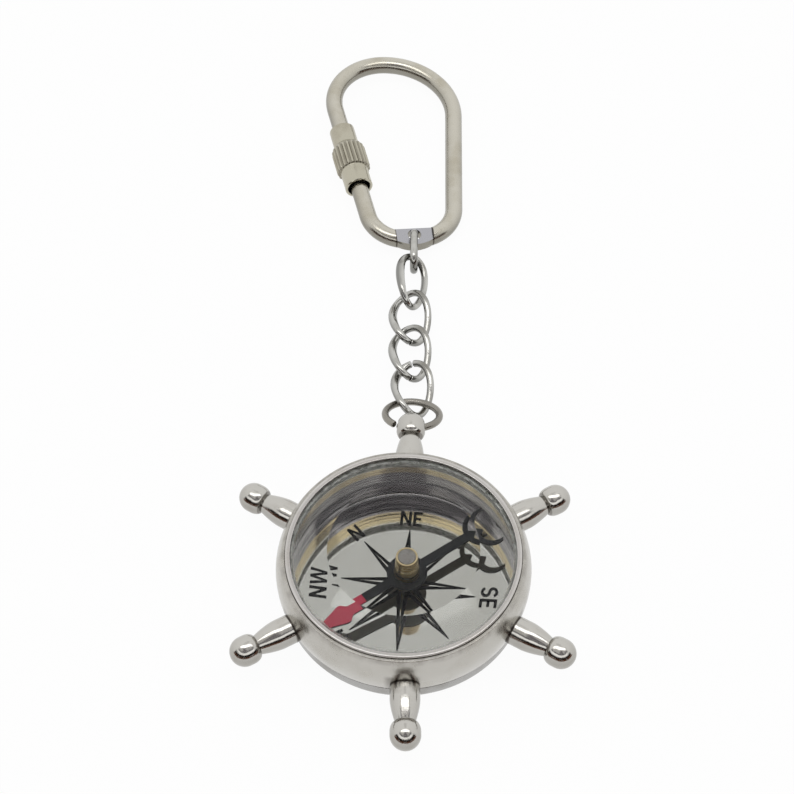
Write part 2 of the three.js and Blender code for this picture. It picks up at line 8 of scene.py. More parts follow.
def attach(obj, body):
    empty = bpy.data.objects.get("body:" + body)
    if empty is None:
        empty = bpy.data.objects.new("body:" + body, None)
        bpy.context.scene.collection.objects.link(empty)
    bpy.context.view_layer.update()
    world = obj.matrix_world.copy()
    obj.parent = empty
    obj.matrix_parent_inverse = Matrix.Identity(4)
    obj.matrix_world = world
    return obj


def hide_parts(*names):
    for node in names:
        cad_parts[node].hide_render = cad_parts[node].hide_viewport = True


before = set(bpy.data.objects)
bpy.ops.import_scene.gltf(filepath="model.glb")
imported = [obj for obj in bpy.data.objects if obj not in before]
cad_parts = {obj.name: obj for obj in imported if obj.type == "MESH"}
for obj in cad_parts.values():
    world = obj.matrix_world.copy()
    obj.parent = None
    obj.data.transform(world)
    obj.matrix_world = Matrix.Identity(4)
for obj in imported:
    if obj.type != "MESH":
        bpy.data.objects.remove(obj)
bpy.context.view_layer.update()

# Sizes in millimetres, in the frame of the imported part
MM = 0.001
FULL = 2 * math.pi
FIT_GAP = 0.05
BORE_RADIUS = 15.45
LEDGE_RADIUS = 15.75
CRYSTAL_RADIUS = 15.70
BEZEL_INNER = 15.40
SKIRT_INNER = 15.80
BEZEL_RADIUS = 16.10
LIP_INNER = 16.15
CASE_TOP_RADIUS = 16.55
CASE_RADIUS = 17.50
CASE_FOOT_RADIUS = 17.15
NECK_RADIUS = 16.20
COVER_INNER = 16.25
COVER_RADIUS = 16.76
PLUG_RADIUS = 15.35
COVER_FLOOR = 0.90
COVER_THICKNESS = 1.10
COVER_EDGE_HEIGHT = 1.30
COVER_RIM_HEIGHT = 3.00
CASE_FOOT_HEIGHT = 3.85
NECK_BOTTOM = 0.95
SPOKE_HEIGHT = 5.0
CASE_WIDEST_HEIGHT = 6.7
BEZEL_SEAT = 9.0
CRYSTAL_SEAT = 9.55
CASE_TOP = 10.3
BEZEL_TOP = 10.65
BEZEL_LIP = 0.3
CRYSTAL_BOTTOM = 9.6
BEVEL_SLOPE = math.radians(13.9)
TABLE_RADIUS = 10.35
DIAL_BOTTOM = 1.15
DIAL_TOP = 1.61
DIAL_RADIUS = 15.35
SPACER_RADIUS = 15.40
SPACER_INNER = 14.95
SPACER_TOP = 9.5
BRASS_HEIGHT = 5.4
GROUND_HEIGHT = 8.3
PRINT_FOOT = 0.002
PRINT_LIFT = 0.012
NEEDLE_BOTTOM = 4.34
NEEDLE_TOP = 4.69
NEEDLE_HEADING = math.radians(215)
NEEDLE_TIP = 13.5
NEEDLE_RED_FROM = 7.15
PIVOT_X = 0.45
HUB_TOP = 8.75
JEWEL_TOP = 8.81
JEWEL_BOTTOM = 8.39
SPOKE_REACH = 24.5
SPOKE_NECK = SPOKE_REACH - 1.85
RING_WIRE = 1.05
RING_RADIUS = 3.95
LINK_WIRE = 1.05
TOP_LINK_WIRE = 1.2
ROD = 2.7
EYE_LEAN = math.radians(8)
EYE_THICK = 1.6
EYE_LENGTH = 5.8
SLEEVE_TOP_LENGTH = 3.6
SLEEVE_GRIP_LENGTH = 5.2
SLEEVE_FOOT_LENGTH = 3.4
SLEEVE_GRIP_RADIUS = 2.68
FLUTE_DEPTH = 0.28

CASE_SEGMENTS = 224
ROUND_SEGMENTS = 72
SHARP_ANGLE = 32

# Tones that several finishes share
# Tone of the painted shade in grooves and joins, and of the painted dark reflection below the case's
# lip
PAINTED_SHADE_TONE = (0.045, 0.032, 0.022)
# Painted shade along the ends of the clip's flat eye
EDGE_SHADE_TONE = (0.05, 0.04, 0.03)
# The flat eye's bluer pressed finish, partly darkened as painted shade
TAB_TONE_AND_SHADE = (0.41, 0.41, 0.43)
# Share of the tone left on sideways faces as painted shade
FLANK_SHADE_SHARE = 0.4
WHITE = (1, 1, 1, 1)


# Mesh helpers: vertices in millimetres, joined into one object per piece
def arc(centre, radius, start, end, steps):
    """Points from one angle to another about a centre."""
    turn = [start + (end - start) * k / steps for k in range(steps + 1)]
    return [(centre[0] + radius * math.cos(a), centre[1] + radius * math.sin(a)) for a in turn]


def rounded(points, radii, steps, closed):
    """A polygon with each corner replaced by a short arc of its own radius."""
    count = len(points)
    out = []
    for k, spot in enumerate(points):
        p = Vector(spot)
        if radii[k] <= 0 or (not closed and k in (0, count - 1)):
            out.append((p.x, p.y))
            continue
        a = Vector(points[k - 1]) - p
        b = Vector(points[(k + 1) % count]) - p
        reach = 0.48 * min(a.length, b.length)
        a.normalize()
        b.normalize()
        half = math.acos(max(-1, min(1, a.dot(b)))) / 2
        if half > math.radians(88):
            out.append((p.x, p.y))
            continue
        cut = min(radii[k] / math.tan(half), reach)
        centre = p + (a + b).normalized() * (cut / math.cos(half))
        start = p + a * cut - centre
        sweep = (math.pi - 2 * half) * (1 if start.cross(p + b * cut - centre) > 0 else -1)
        for i in range(steps + 1):
            turned = start.copy()
            turned.rotate(Matrix.Rotation(sweep * i / steps, 2))
            out.append((centre.x + turned.x, centre.y + turned.y))
    return out


def skin(rows, wrap_rows=False):
    """Faces between rows of vertex numbers; each row goes once round."""
    faces = []
    pairs = list(zip(rows, rows[1:]))
    if wrap_rows:
        pairs.append((rows[-1], rows[0]))
    for low, high in pairs:
        count = max(len(low), len(high))
        for k in range(count):
            ring = [low[k % len(low)], low[(k + 1) % len(low)],
                    high[(k + 1) % len(high)], high[k % len(high)]]
            face = list(dict.fromkeys(ring))
            if len(face) > 2:
                faces.append(face)
    return faces


def lathe(profile, segments, closed=True):
    """A profile of (radius, height) turned about +Z."""
    verts, rows = [], []
    for radius, height in profile:
        first = len(verts)
        if radius < 1e-6:
            verts.append((0, 0, height))
        else:
            for k in range(segments):
                a = FULL * k / segments
                verts.append((radius * math.cos(a), radius * math.sin(a), height))
        rows.append(list(range(first, len(verts))))
    return verts, skin(rows, wrap_rows=closed)


def turned_shell(profile, rounds, segments, closed=False, steps=4):
    """A profile with rounded corners turned about +Z; an open one starts and ends on the axis."""
    return lathe(rounded(profile, rounds, steps, closed), segments, closed)


def tube(path, radii, sides):
    """A round wire along points, with flat ends; radii gives one radius per point."""
    spots = [Vector(p) for p in path]
    count = len(spots)
    ahead = []
    for k in range(count):
        ahead.append((spots[min(k + 1, count - 1)] - spots[max(k - 1, 0)]).normalized())
    side = ahead[0].orthogonal().normalized()
    verts, rows = [], []
    for k in range(count):
        side = (side - ahead[k] * side.dot(ahead[k])).normalized()
        other = ahead[k].cross(side)
        first = len(verts)
        for i in range(sides):
            a = FULL * i / sides
            verts.append(spots[k] + (side * math.cos(a) + other * math.sin(a)) * radii[k])
        rows.append(list(range(first, len(verts))))
    faces = skin(rows)
    faces += [rows[0][::-1], rows[-1]]
    return verts, faces


def left_share(a, lift):
    """1 at the left of a link, lift further up, falling to 0 well before its ends."""
    return max(0.0, (-math.cos(a + lift) - 0.7) / 0.3) ** 0.9


WIRE_SIDES = 20
WIRE_CHAMFER = 0.12


def wire(formula, start, end, steps, radius, swell=0.0, lift=0.0):
    """A wire along a formula of an angle, its cut ends slightly broken; swell thickens its left arc."""
    angles = [start + (end - start) * k / steps for k in range(steps + 1)]
    spots = [Vector(formula(a)) for a in angles]
    radii = [radius + swell * left_share(a, lift) for a in angles]
    for at, toward, put in ((0, 1, 1), (-1, -2, -1)):
        lead = (spots[toward] - spots[at]).normalized()
        spots.insert(put, spots[at] + lead * WIRE_CHAMFER)
        radii.insert(put, radius)
        radii[at] = radius - WIRE_CHAMFER * 0.7
    return tube(spots, radii, WIRE_SIDES)


def prism(outline, bottom, top):
    """A flat outline raised into a plate, as one closed shell."""
    count = len(outline)
    verts = [(x, y, bottom) for x, y in outline] + [(x, y, top) for x, y in outline]
    low = list(range(count))
    high = list(range(count, 2 * count))
    return verts, skin([low, high]) + [low[::-1], high]


def leaning_plate(outline, lean, bottom, top):
    """A plate raised from an outline turned by an angle."""
    turn = Matrix.Rotation(lean, 2)
    return prism([tuple(turn @ Vector(p)) for p in outline], bottom, top)


def mesh_of(name, shell):
    """A mesh in metres whose faces all look outward."""
    verts, faces = shell
    mesh = bpy.data.meshes.new(name)
    mesh.from_pydata([Vector(v) * MM for v in verts], [], faces)
    work = bmesh.new()
    work.from_mesh(mesh)
    bmesh.ops.recalc_face_normals(work, faces=work.faces)
    work.to_mesh(mesh)
    work.free()
    return mesh


def smooth_shade(mesh, sharp):
    """Smooth shading, apart from edges sharper than an angle in degrees."""
    mesh.polygons.foreach_set("use_smooth", [True] * len(mesh.polygons))
    mesh.set_sharp_from_angle(angle=math.radians(sharp))


def linked(name, data):
    """A new object in the scene."""
    obj = bpy.data.objects.new(name, data)
    bpy.context.scene.collection.objects.link(obj)
    return obj


def piece(name, shell, material, body, node, sharp=SHARP_ANGLE, place=None):
    """One visible object that rides on a body and stands for a CAD node."""
    mesh = mesh_of(name, shell)
    smooth_shade(mesh, sharp)
    mesh.materials.append(material)
    obj = linked(name, mesh)
    if place is not None:
        obj.matrix_world = place
    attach(obj, body)
    if node:
        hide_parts(node)
    return obj


def carve(obj, shell, operation):
    """Cuts a shell out of an object's mesh or joins it on, and keeps the result as the mesh."""
    tool = linked("tool", mesh_of("tool", shell))
    tool.matrix_world = obj.matrix_world
    cut = obj.modifiers.new("cut", "BOOLEAN")
    cut.operation = operation
    cut.solver = "EXACT"
    cut.object = tool
    bpy.context.view_layer.update()
    evaluated = obj.evaluated_get(bpy.context.evaluated_depsgraph_get())
    done = bpy.data.meshes.new_from_object(evaluated)
    obj.modifiers.remove(cut)
    obj.data = done
    bpy.data.objects.remove(tool)
    smooth_shade(done, SHARP_ANGLE)


# Material helpers
def shader(name):
    material = bpy.data.materials.new(name)
    material.use_nodes = True
    tree = material.node_tree
    tree.nodes.clear()
    return material, tree


def add(tree, kind, inputs=None, **settings):
    node = tree.nodes.new(kind)
    for key, value in settings.items():
        setattr(node, key, value)
    for key, value in (inputs or {}).items():
        if isinstance(value, bpy.types.NodeSocket):
            tree.links.new(value, node.inputs[key])
        else:
            node.inputs[key].default_value = value
    return node


def spots_in_mm(tree, stretch=(1, 1, 1)):
    """Object coordinates in millimetres, stretched along the axes."""
    where = add(tree, "ShaderNodeTexCoord").outputs["Object"]
    scale = Vector(stretch) * 1000
    return add(tree, "ShaderNodeMapping", {"Vector": where, "Scale": scale}).outputs["Vector"]


def noise(tree, where, scale, detail=3.0, roughness=0.55):
    inputs = {"Vector": where, "Scale": scale, "Detail": detail, "Roughness": roughness}
    return add(tree, "ShaderNodeTexNoise", inputs).outputs["Fac"]


def ramp(tree, value, low, high, to_low=0.0, to_high=1.0, smooth=True):
    kind = "SMOOTHSTEP" if smooth else "LINEAR"
    inputs = {"Value": value, "From Min": low, "From Max": high, "To Min": to_low, "To Max": to_high}
    return add(tree, "ShaderNodeMapRange", inputs, interpolation_type=kind).outputs["Result"]


def maths(tree, operation, a, b=0.0):
    return add(tree, "ShaderNodeMath", {0: a, 1: b}, operation=operation).outputs["Value"]


def total(tree, a, b):
    return maths(tree, "ADD", a, b)


def product(tree, a, b):
    return maths(tree, "MULTIPLY", a, b)


def larger(tree, a, b):
    return maths(tree, "MAXIMUM", a, b)


def mix(tree, factor, a, b):
    node = add(tree, "ShaderNodeMix", {0: factor}, data_type="RGBA", clamp_factor=True)
    for index, value in ((6, a), (7, b)):
        if isinstance(value, bpy.types.NodeSocket):
            tree.links.new(value, node.inputs[index])
        else:
            node.inputs[index].default_value = (*value, 1)
    return node.outputs[2]


def bump(tree, height, distance, strength=1.0, normal=None):
    inputs = {"Height": height, "Distance": distance * MM, "Strength": strength}
    if normal is not None:
        inputs["Normal"] = normal
    return add(tree, "ShaderNodeBump", inputs).outputs["Normal"]


def finished(material, **inputs):
    """A material ended in one principled shader; names are written with _ for a space."""
    tree = material.node_tree
    named = {key.replace("_", " "): value for key, value in inputs.items()}
    surface = add(tree, "ShaderNodeBsdfPrincipled", named).outputs["BSDF"]
    add(tree, "ShaderNodeOutputMaterial", {"Surface": surface})
    return material


def distance_from_axis(tree, where):
    flat = add(tree, "ShaderNodeVectorMath", {0: where, 1: (1, 1, 0)}, operation="MULTIPLY")
    size = add(tree, "ShaderNodeVectorMath", {0: flat.outputs["Vector"]}, operation="LENGTH")
    return size.outputs["Value"]


def run_along(tree, where, line):
    """How far a spot lies along a direction."""
    inputs = {0: where, 1: line}
    return add(tree, "ShaderNodeVectorMath", inputs, operation="DOT_PRODUCT").outputs["Value"]


def size_of(tree, value):
    """A value without its sign."""
    return maths(tree, "ABSOLUTE", value)


def height_of(tree, where):
    return add(tree, "ShaderNodeSeparateXYZ", {"Vector": where}).outputs["Z"]


def case_shade_and_reflection(tree, where):
    """Painted shade in the groove under the wall and round the spokes' feet, and a painted dark
    reflection below the lip.
    """
    part = add(tree, "ShaderNodeSeparateXYZ", {"Vector": where}).outputs
    out = distance_from_axis(tree, where)
    # Painted shade in the groove between the wall's foot and the cover
    under = ramp(tree, part["Z"], CASE_FOOT_HEIGHT + 0.15, CASE_FOOT_HEIGHT - 0.05)
    sunk = ramp(tree, out, CASE_FOOT_RADIUS - 0.2, CASE_FOOT_RADIUS - 0.45)
    groove = product(tree, sunk, under)
    # Painted shade beside the spokes' feet and below them
    angle = maths(tree, "ARCTAN2", part["Y"], part["X"])
    sixth = maths(tree, "COSINE", product(tree, angle, 6.0))
    beside = ramp(tree, sixth, -0.6, -0.85, 0, 0.5)
    low = ramp(tree, part["Z"], SPOKE_HEIGHT + 2.9, SPOKE_HEIGHT + 2.0)
    feet = product(tree, beside, low)
    # Painted dark reflection in patches below the lip
    patch = ramp(tree, noise(tree, where, 0.5, 4), 0.35, 0.65, 0.1, 0.75)
    lip = product(tree, ramp(tree, part["Z"], CASE_TOP - 1.0, CASE_TOP - 0.1, 0, 0.35), patch)
    return larger(tree, groove, larger(tree, feet, lip))


def spoke_painted_shade(tree, where):
    """Painted shade at a spoke's foot and in its neck; the spoke lies along X."""
    along = add(tree, "ShaderNodeSeparateXYZ", {"Vector": where}).outputs["X"]
    foot = ramp(tree, along, CASE_RADIUS + 0.25, CASE_RADIUS, 0, 0.8)
    off = size_of(tree, maths(tree, "SUBTRACT", along, SPOKE_NECK + 0.1))
    neck = ramp(tree, off, 0.2, 0.06, 0, 0.5)
    return larger(tree, foot, neck)


def flute_painted_shade(tree, where):
    """Painted shade in the valleys of the sleeve's grip; the sleeve lies along Z."""
    down = height_of(tree, where)
    out = distance_from_axis(tree, where)
    start = -SLEEVE_TOP_LENGTH
    end = start - SLEEVE_GRIP_LENGTH
    above = ramp(tree, down, end - 0.05, end + 0.05)
    grip = product(tree, above, ramp(tree, down, start - 0.3, start - 0.8))
    valley = ramp(tree, out, SLEEVE_GRIP_RADIUS - 0.02, SLEEVE_GRIP_RADIUS - 0.24, 0, 0.45)
    return product(tree, valley, grip)


def facing_sideways(tree):
    """0 on faces that lie upward, 1 on faces that lie sideways."""
    facing = add(tree, "ShaderNodeTexCoord").outputs["Normal"]
    return ramp(tree, height_of(tree, facing), 1.0, 0.3, smooth=False)


def flat_tab(tree, where, colour):
    """The clip's flattened eye: bluer metal, its pressed finish partly darkened as painted shade, and
    lines of painted shade where the rod starts again.
    """
    along = (math.cos(EYE_LEAN), math.sin(EYE_LEAN), 0)
    across = (-math.sin(EYE_LEAN), math.cos(EYE_LEAN), 0)
    half = EYE_LENGTH / 2
    reach = size_of(tree, run_along(tree, where, along))
    aside = size_of(tree, run_along(tree, where, across))
    here = ramp(tree, aside, ROD + 0.3, ROD - 0.1)
    flat = ramp(tree, facing_sideways(tree), 0.7, 0.3)
    inside = product(tree, ramp(tree, reach, half + 0.02, half - 0.02), here)
    # Pressed finish on the flat eye, partly darkened as painted shade
    bluer = mix(tree, product(tree, inside, flat), colour, TAB_TONE_AND_SHADE)
    edge = size_of(tree, maths(tree, "SUBTRACT", reach, half))
    # Painted shade lines where the flat eye meets the round rod
    line = product(tree, ramp(tree, edge, 0.16, 0.05, 0, 0.85), here)
    return mix(tree, line, bluer, EDGE_SHADE_TONE)


def plated(name, tone, stain, rough, grain=(1, 1, 1), wave=0.006, line=0.0015, stain_share=0.5,
           painted_shade_mask=None, tab=False, flank_shade=0.0):
    """Plated metal: cloudy tone, drawn or turned lines and an uneven polish.

    The shade mask says where painted shade sits, tab marks the clip's flat eye, and the flank share
    is how much painted shade lies on faces that don't lie upward."""
    material, tree = shader(name)
    where = spots_in_mm(tree)
    cloud = noise(tree, where, 0.22, 4)
    fleck = noise(tree, where, 3.4, 2)
    lines = noise(tree, spots_in_mm(tree, grain), 5.0, 2)
    colour = mix(tree, ramp(tree, cloud, 0.42, 0.72, 0, stain_share), tone, stain)
    if flank_shade:
        # Painted shade: faces that don't lie upward darker by the flank share
        flank_tone = tuple(c * FLANK_SHADE_SHARE for c in tone)
        colour = mix(tree, product(tree, facing_sideways(tree), flank_shade), colour, flank_tone)
    if tab:
        colour = flat_tab(tree, where, colour)
    polish = ramp(tree, cloud, 0.35, 0.7, rough, rough + 0.07)
    worn = total(tree, ramp(tree, fleck, 0.3, 0.7, 0, 0.05), polish)
    # Painted shade from the shade mask: a darker tone and a rougher surface there
    if painted_shade_mask is not None:
        shade_share = painted_shade_mask(tree, where)
        colour = mix(tree, shade_share, colour, PAINTED_SHADE_TONE)
        worn = larger(tree, worn, ramp(tree, shade_share, 0.2, 1.0, 0, 0.3))
    uneven = bump(tree, noise(tree, where, 0.8, 2), wave)
    detail = bump(tree, lines, line, 1.0, uneven)
    return finished(material, Base_Color=colour, Metallic=1.0, Roughness=worn, Normal=detail)


# Several finishes below take painted shade from a shade mask or a flank share
TURNED = (0.3, 0.3, 6)
case_metal = plated("case_metal", (0.50, 0.485, 0.45), (0.36, 0.33, 0.27), 0.19, TURNED,
                    stain_share=0.3, painted_shade_mask=case_shade_and_reflection)
cover_metal = plated("cover_metal", (0.40, 0.395, 0.385), (0.27, 0.255, 0.23), 0.22, TURNED)
bezel_metal = plated("bezel_metal", (0.58, 0.56, 0.54), (0.46, 0.43, 0.39), 0.10, TURNED)
spoke_metal = plated("spoke_metal", (0.54, 0.525, 0.49), (0.40, 0.37, 0.32), 0.08, (6, 0.4, 0.4),
                     wave=0.02, line=0.004, painted_shade_mask=spoke_painted_shade, flank_shade=0.4)
chain_metal = plated("chain_metal", (0.54, 0.535, 0.505), (0.17, 0.16, 0.135), 0.10,
                     wave=0.03, stain_share=0.8, flank_shade=0.85)
ring_metal = plated("ring_metal", (0.29, 0.275, 0.245), (0.15, 0.14, 0.12), 0.22, wave=0.02)
clip_metal = plated("clip_metal", (0.56, 0.535, 0.465), (0.40, 0.365, 0.28), 0.17, (1, 0.2, 1),
                    wave=0.008, stain_share=0.6, tab=True, flank_shade=0.8)
sleeve_metal = plated("sleeve_metal", (0.48, 0.455, 0.37), (0.30, 0.265, 0.20), 0.17, TURNED,
                      wave=0.008, painted_shade_mask=flute_painted_shade)


def turned_brass():
    """Bare brass with rings left by the tool."""
    material, tree = shader("hub_brass")
    fresh, dull = (0.84, 0.69, 0.42), (0.60, 0.48, 0.29)
    rings = noise(tree, spots_in_mm(tree, (0.12, 0.12, 3.0)), 1.0, 3, 0.65)
    cloud = noise(tree, spots_in_mm(tree), 0.35, 3)
    colour = mix(tree, ramp(tree, rings, 0.35, 0.68), fresh, dull)
    aged = mix(tree, ramp(tree, cloud, 0.5, 0.75, 0, 0.55), colour, dull)
    worn = ramp(tree, rings, 0.3, 0.7, 0.22, 0.36)
    marks = bump(tree, rings, 0.02)
    return finished(material, Base_Color=aged, Metallic=1.0, Roughness=worn, Normal=marks)


def inner_wall():
    """The turned liner: grey below, bare brass above, ground silver at the top."""
    material, tree = shader("spacer_brass")
    where = spots_in_mm(tree)
    rings = noise(tree, spots_in_mm(tree, (0.03, 0.03, 2.6)), 1.0, 2, 0.6)
    grit = noise(tree, spots_in_mm(tree, (0.7, 0.7, 3.0)), 1.6, 3, 0.7)
    height = total(tree, height_of(tree, where), ramp(tree, rings, 0.3, 0.7, -0.2, 0.2))
    cut = ramp(tree, rings, 0.35, 0.7)
    grey = mix(tree, cut, (0.24, 0.23, 0.245), (0.52, 0.49, 0.51))
    gold = mix(tree, cut, (0.74, 0.62, 0.40), (0.48, 0.39, 0.25))
    silver = mix(tree, ramp(tree, grit, 0.38, 0.6), (0.32, 0.32, 0.30), (0.88, 0.88, 0.85))
    lower = mix(tree, ramp(tree, height, BRASS_HEIGHT - 0.2, BRASS_HEIGHT + 0.2), grey, gold)
    colour = mix(tree, ramp(tree, height, GROUND_HEIGHT - 1.3, GROUND_HEIGHT), lower, silver)
    polish = ramp(tree, height, GROUND_HEIGHT - 0.4, GROUND_HEIGHT, 0.1, 0.62)
    rough = total(tree, polish, ramp(tree, rings, 0.3, 0.7, 0, 0.06))
    bright = ramp(tree, height, GROUND_HEIGHT - 0.2, GROUND_HEIGHT + 0.1, 1.0, 0.4)
    strength = ramp(tree, height, GROUND_HEIGHT - 0.1, GROUND_HEIGHT + 0.2, 0, 0.6)
    ground = bump(tree, grit, 0.01, strength)
    return finished(material, Base_Color=colour, Metallic=bright, Roughness=rough, Normal=ground)


def mirror_plate():
    """The dial's bright plate, hazy in places, with a few specks."""
    material, tree = shader("dial_mirror")
    where = spots_in_mm(tree)
    haze = noise(tree, where, 0.16, 4)
    dust = noise(tree, where, 5.5, 2, 0.4)
    dull = ramp(tree, haze, 0.45, 0.75, 0, 0.45)
    colour = mix(tree, dull, (0.53, 0.525, 0.505), (0.47, 0.46, 0.425))
    speck = mix(tree, ramp(tree, dust, 0.74, 0.80), colour, (0.30, 0.28, 0.24))
    rough = total(tree, ramp(tree, haze, 0.4, 0.8, 0.035, 0.08), ramp(tree, dust, 0.7, 0.8, 0, 0.3))
    return finished(material, Base_Color=speck, Metallic=1.0, Roughness=rough)


def ink():
    """Black print, thin in places."""
    material, tree = shader("dial_ink")
    where = spots_in_mm(tree)
    fade = noise(tree, where, 2.6, 3)
    thin = ramp(tree, fade, 0.45, 0.75, 0, 0.6)
    colour = mix(tree, thin, (0.006, 0.006, 0.007), (0.022, 0.022, 0.025))
    rough = ramp(tree, fade, 0.3, 0.7, 0.4, 0.6)
    return finished(material, Base_Color=colour, Roughness=rough, Specular_IOR_Level=0.1)


def needle_paint():
    """Black paint, red on the tip's top face, bare metal underneath."""
    material, tree = shader("needle_paint")
    where = spots_in_mm(tree)
    along = (math.cos(NEEDLE_HEADING), math.sin(NEEDLE_HEADING), 0)
    reach = run_along(tree, where, along)
    grain = noise(tree, where, 5.0, 3)
    edge = total(tree, reach, ramp(tree, grain, 0.2, 0.8, -0.06, 0.06))
    black = mix(tree, ramp(tree, grain, 0.62, 0.74), (0.014, 0.015, 0.019), (0.10, 0.10, 0.11))
    red = mix(tree, ramp(tree, grain, 0.35, 0.75), (0.60, 0.055, 0.105), (0.52, 0.04, 0.08))
    tip = ramp(tree, edge, NEEDLE_RED_FROM - 0.03, NEEDLE_RED_FROM + 0.03)
    height = height_of(tree, where)
    top = ramp(tree, height, NEEDLE_TOP - 0.1, NEEDLE_TOP - 0.05)
    under = ramp(tree, height, NEEDLE_TOP - 0.28, NEEDLE_TOP - 0.32)
    bare = mix(tree, under, black, (0.36, 0.34, 0.29))
    colour = mix(tree, product(tree, tip, top), bare, red)
    flow = bump(tree, noise(tree, where, 2.2, 2), 0.01)
    rough = ramp(tree, grain, 0.3, 0.7, 0.32, 0.5)
    return finished(material, Base_Color=colour, Roughness=rough, Normal=flow, Specular_IOR_Level=0.2)


def jewel():
    material, tree = shader("jewel_grey")
    where = spots_in_mm(tree)
    cloud = noise(tree, where, 1.6, 4)
    colour = mix(tree, ramp(tree, cloud, 0.35, 0.7), (0.36, 0.335, 0.32), (0.26, 0.24, 0.23))
    return finished(material, Base_Color=colour, Roughness=ramp(tree, cloud, 0.3, 0.7, 0.22, 0.4))


def steel():
    material, tree = shader("pin_steel")
    rings = noise(tree, spots_in_mm(tree, (0.3, 0.3, 5)), 2.0, 3)
    colour = mix(tree, ramp(tree, rings, 0.35, 0.7), (0.50, 0.50, 0.49), (0.36, 0.36, 0.36))
    rough = ramp(tree, rings, 0.3, 0.7, 0.22, 0.36)
    return finished(material, Base_Color=colour, Metallic=1.0, Roughness=rough)


def glass():
    """Clear glass, ground white towards its edge."""
    material, tree = shader("crystal_glass")
    where = spots_in_mm(tree)
    out = distance_from_axis(tree, where)
    grit = noise(tree, where, 4.5, 3, 0.6)
    reach = total(tree, out, ramp(tree, grit, 0.3, 0.7, -0.12, 0.12))
    ground = ramp(tree, reach, SPACER_INNER - 0.05, SPACER_INNER + 0.2)
    rough = product(tree, ground, 0.5)
    return finished(material, Base_Color=(0.975, 0.985, 0.97, 1), Transmission_Weight=1.0, IOR=1.52,
                    Roughness=rough, Specular_Tint=(0.2, 0.2, 0.2, 1))


hub_brass = turned_brass()
spacer_brass = inner_wall()
dial_face = mirror_plate()
dial_ink = ink()
needle_black = needle_paint()
jewel_grey = jewel()
pin_steel = steel()
crystal_glass = glass()


# Case, cover and bezel
def wall_radius(height):
    """The case's bulged wall: widest part of the way up, drawn in below and above."""
    if height < CASE_WIDEST_HEIGHT:
        share = (CASE_WIDEST_HEIGHT - height) / (CASE_WIDEST_HEIGHT - CASE_FOOT_HEIGHT)
        return CASE_RADIUS - (CASE_RADIUS - CASE_FOOT_RADIUS) * share ** 2
    share = (height - CASE_WIDEST_HEIGHT) / (CASE_TOP - CASE_WIDEST_HEIGHT)
    return CASE_RADIUS - (CASE_RADIUS - CASE_TOP_RADIUS) * share ** 2


WALL_LOW_STEPS = 10
WALL_HIGH_STEPS = 22
low_rise = (CASE_WIDEST_HEIGHT - CASE_FOOT_HEIGHT) / WALL_LOW_STEPS
high_rise = (CASE_TOP - CASE_WIDEST_HEIGHT) / WALL_HIGH_STEPS
wall_heights = [CASE_FOOT_HEIGHT + low_rise * k for k in range(WALL_LOW_STEPS)]
wall_heights += [CASE_WIDEST_HEIGHT + high_rise * k for k in range(WALL_HIGH_STEPS + 1)]
wall = [(wall_radius(height), height) for height in wall_heights]
case_profile = [(BORE_RADIUS, NECK_BOTTOM), (NECK_RADIUS, NECK_BOTTOM), (NECK_RADIUS, CASE_FOOT_HEIGHT)]
case_profile += wall
case_profile += [(LIP_INNER, CASE_TOP), (LIP_INNER, BEZEL_SEAT), (LEDGE_RADIUS, BEZEL_SEAT),
                 (LEDGE_RADIUS, CRYSTAL_SEAT), (BORE_RADIUS, CRYSTAL_SEAT)]
case_rounds = [0.05, 0.1, 0.08] + [0.14] + [0] * (len(wall) - 2) + [0.08, 0.06, 0, 0, 0.04, 0.04]
case_shell = turned_shell(case_profile, case_rounds, CASE_SEGMENTS, closed=True)
piece("case_wall", case_shell, case_metal, "compass", "case_ring")

edge_radius = COVER_RADIUS - 1.0
cover_profile = [(0, 0), (edge_radius, 0), (edge_radius + 0.6, COVER_EDGE_HEIGHT * 0.3),
                 (COVER_RADIUS, COVER_EDGE_HEIGHT), (COVER_RADIUS, COVER_RIM_HEIGHT),
                 (COVER_INNER, COVER_RIM_HEIGHT), (COVER_INNER, COVER_FLOOR),
                 (PLUG_RADIUS, COVER_FLOOR), (PLUG_RADIUS, COVER_THICKNESS), (0, COVER_THICKNESS)]
cover_rounds = [0, 0.5, 0.9, 0.9, 0.16, 0.12, 0.05, 0.05, 0.05, 0]
cover_shell = turned_shell(cover_profile, cover_rounds, CASE_SEGMENTS)
piece("cover_cup", cover_shell, cover_metal, "compass", "back_cover")

bezel_profile = [(BEZEL_INNER, BEZEL_TOP - BEZEL_LIP), (SKIRT_INNER, BEZEL_TOP - BEZEL_LIP),
                 (SKIRT_INNER, BEZEL_SEAT + FIT_GAP), (BEZEL_RADIUS, BEZEL_SEAT + FIT_GAP),
                 (BEZEL_RADIUS, BEZEL_TOP), (BEZEL_INNER, BEZEL_TOP)]
bezel_rounds = [0.05, 0, 0.03, 0.03, 0.2, 0.13]
bezel_shell = turned_shell(bezel_profile, bezel_rounds, CASE_SEGMENTS, closed=True, steps=6)
piece("bezel_rim", bezel_shell, bezel_metal, "compass", "bezel_ring")


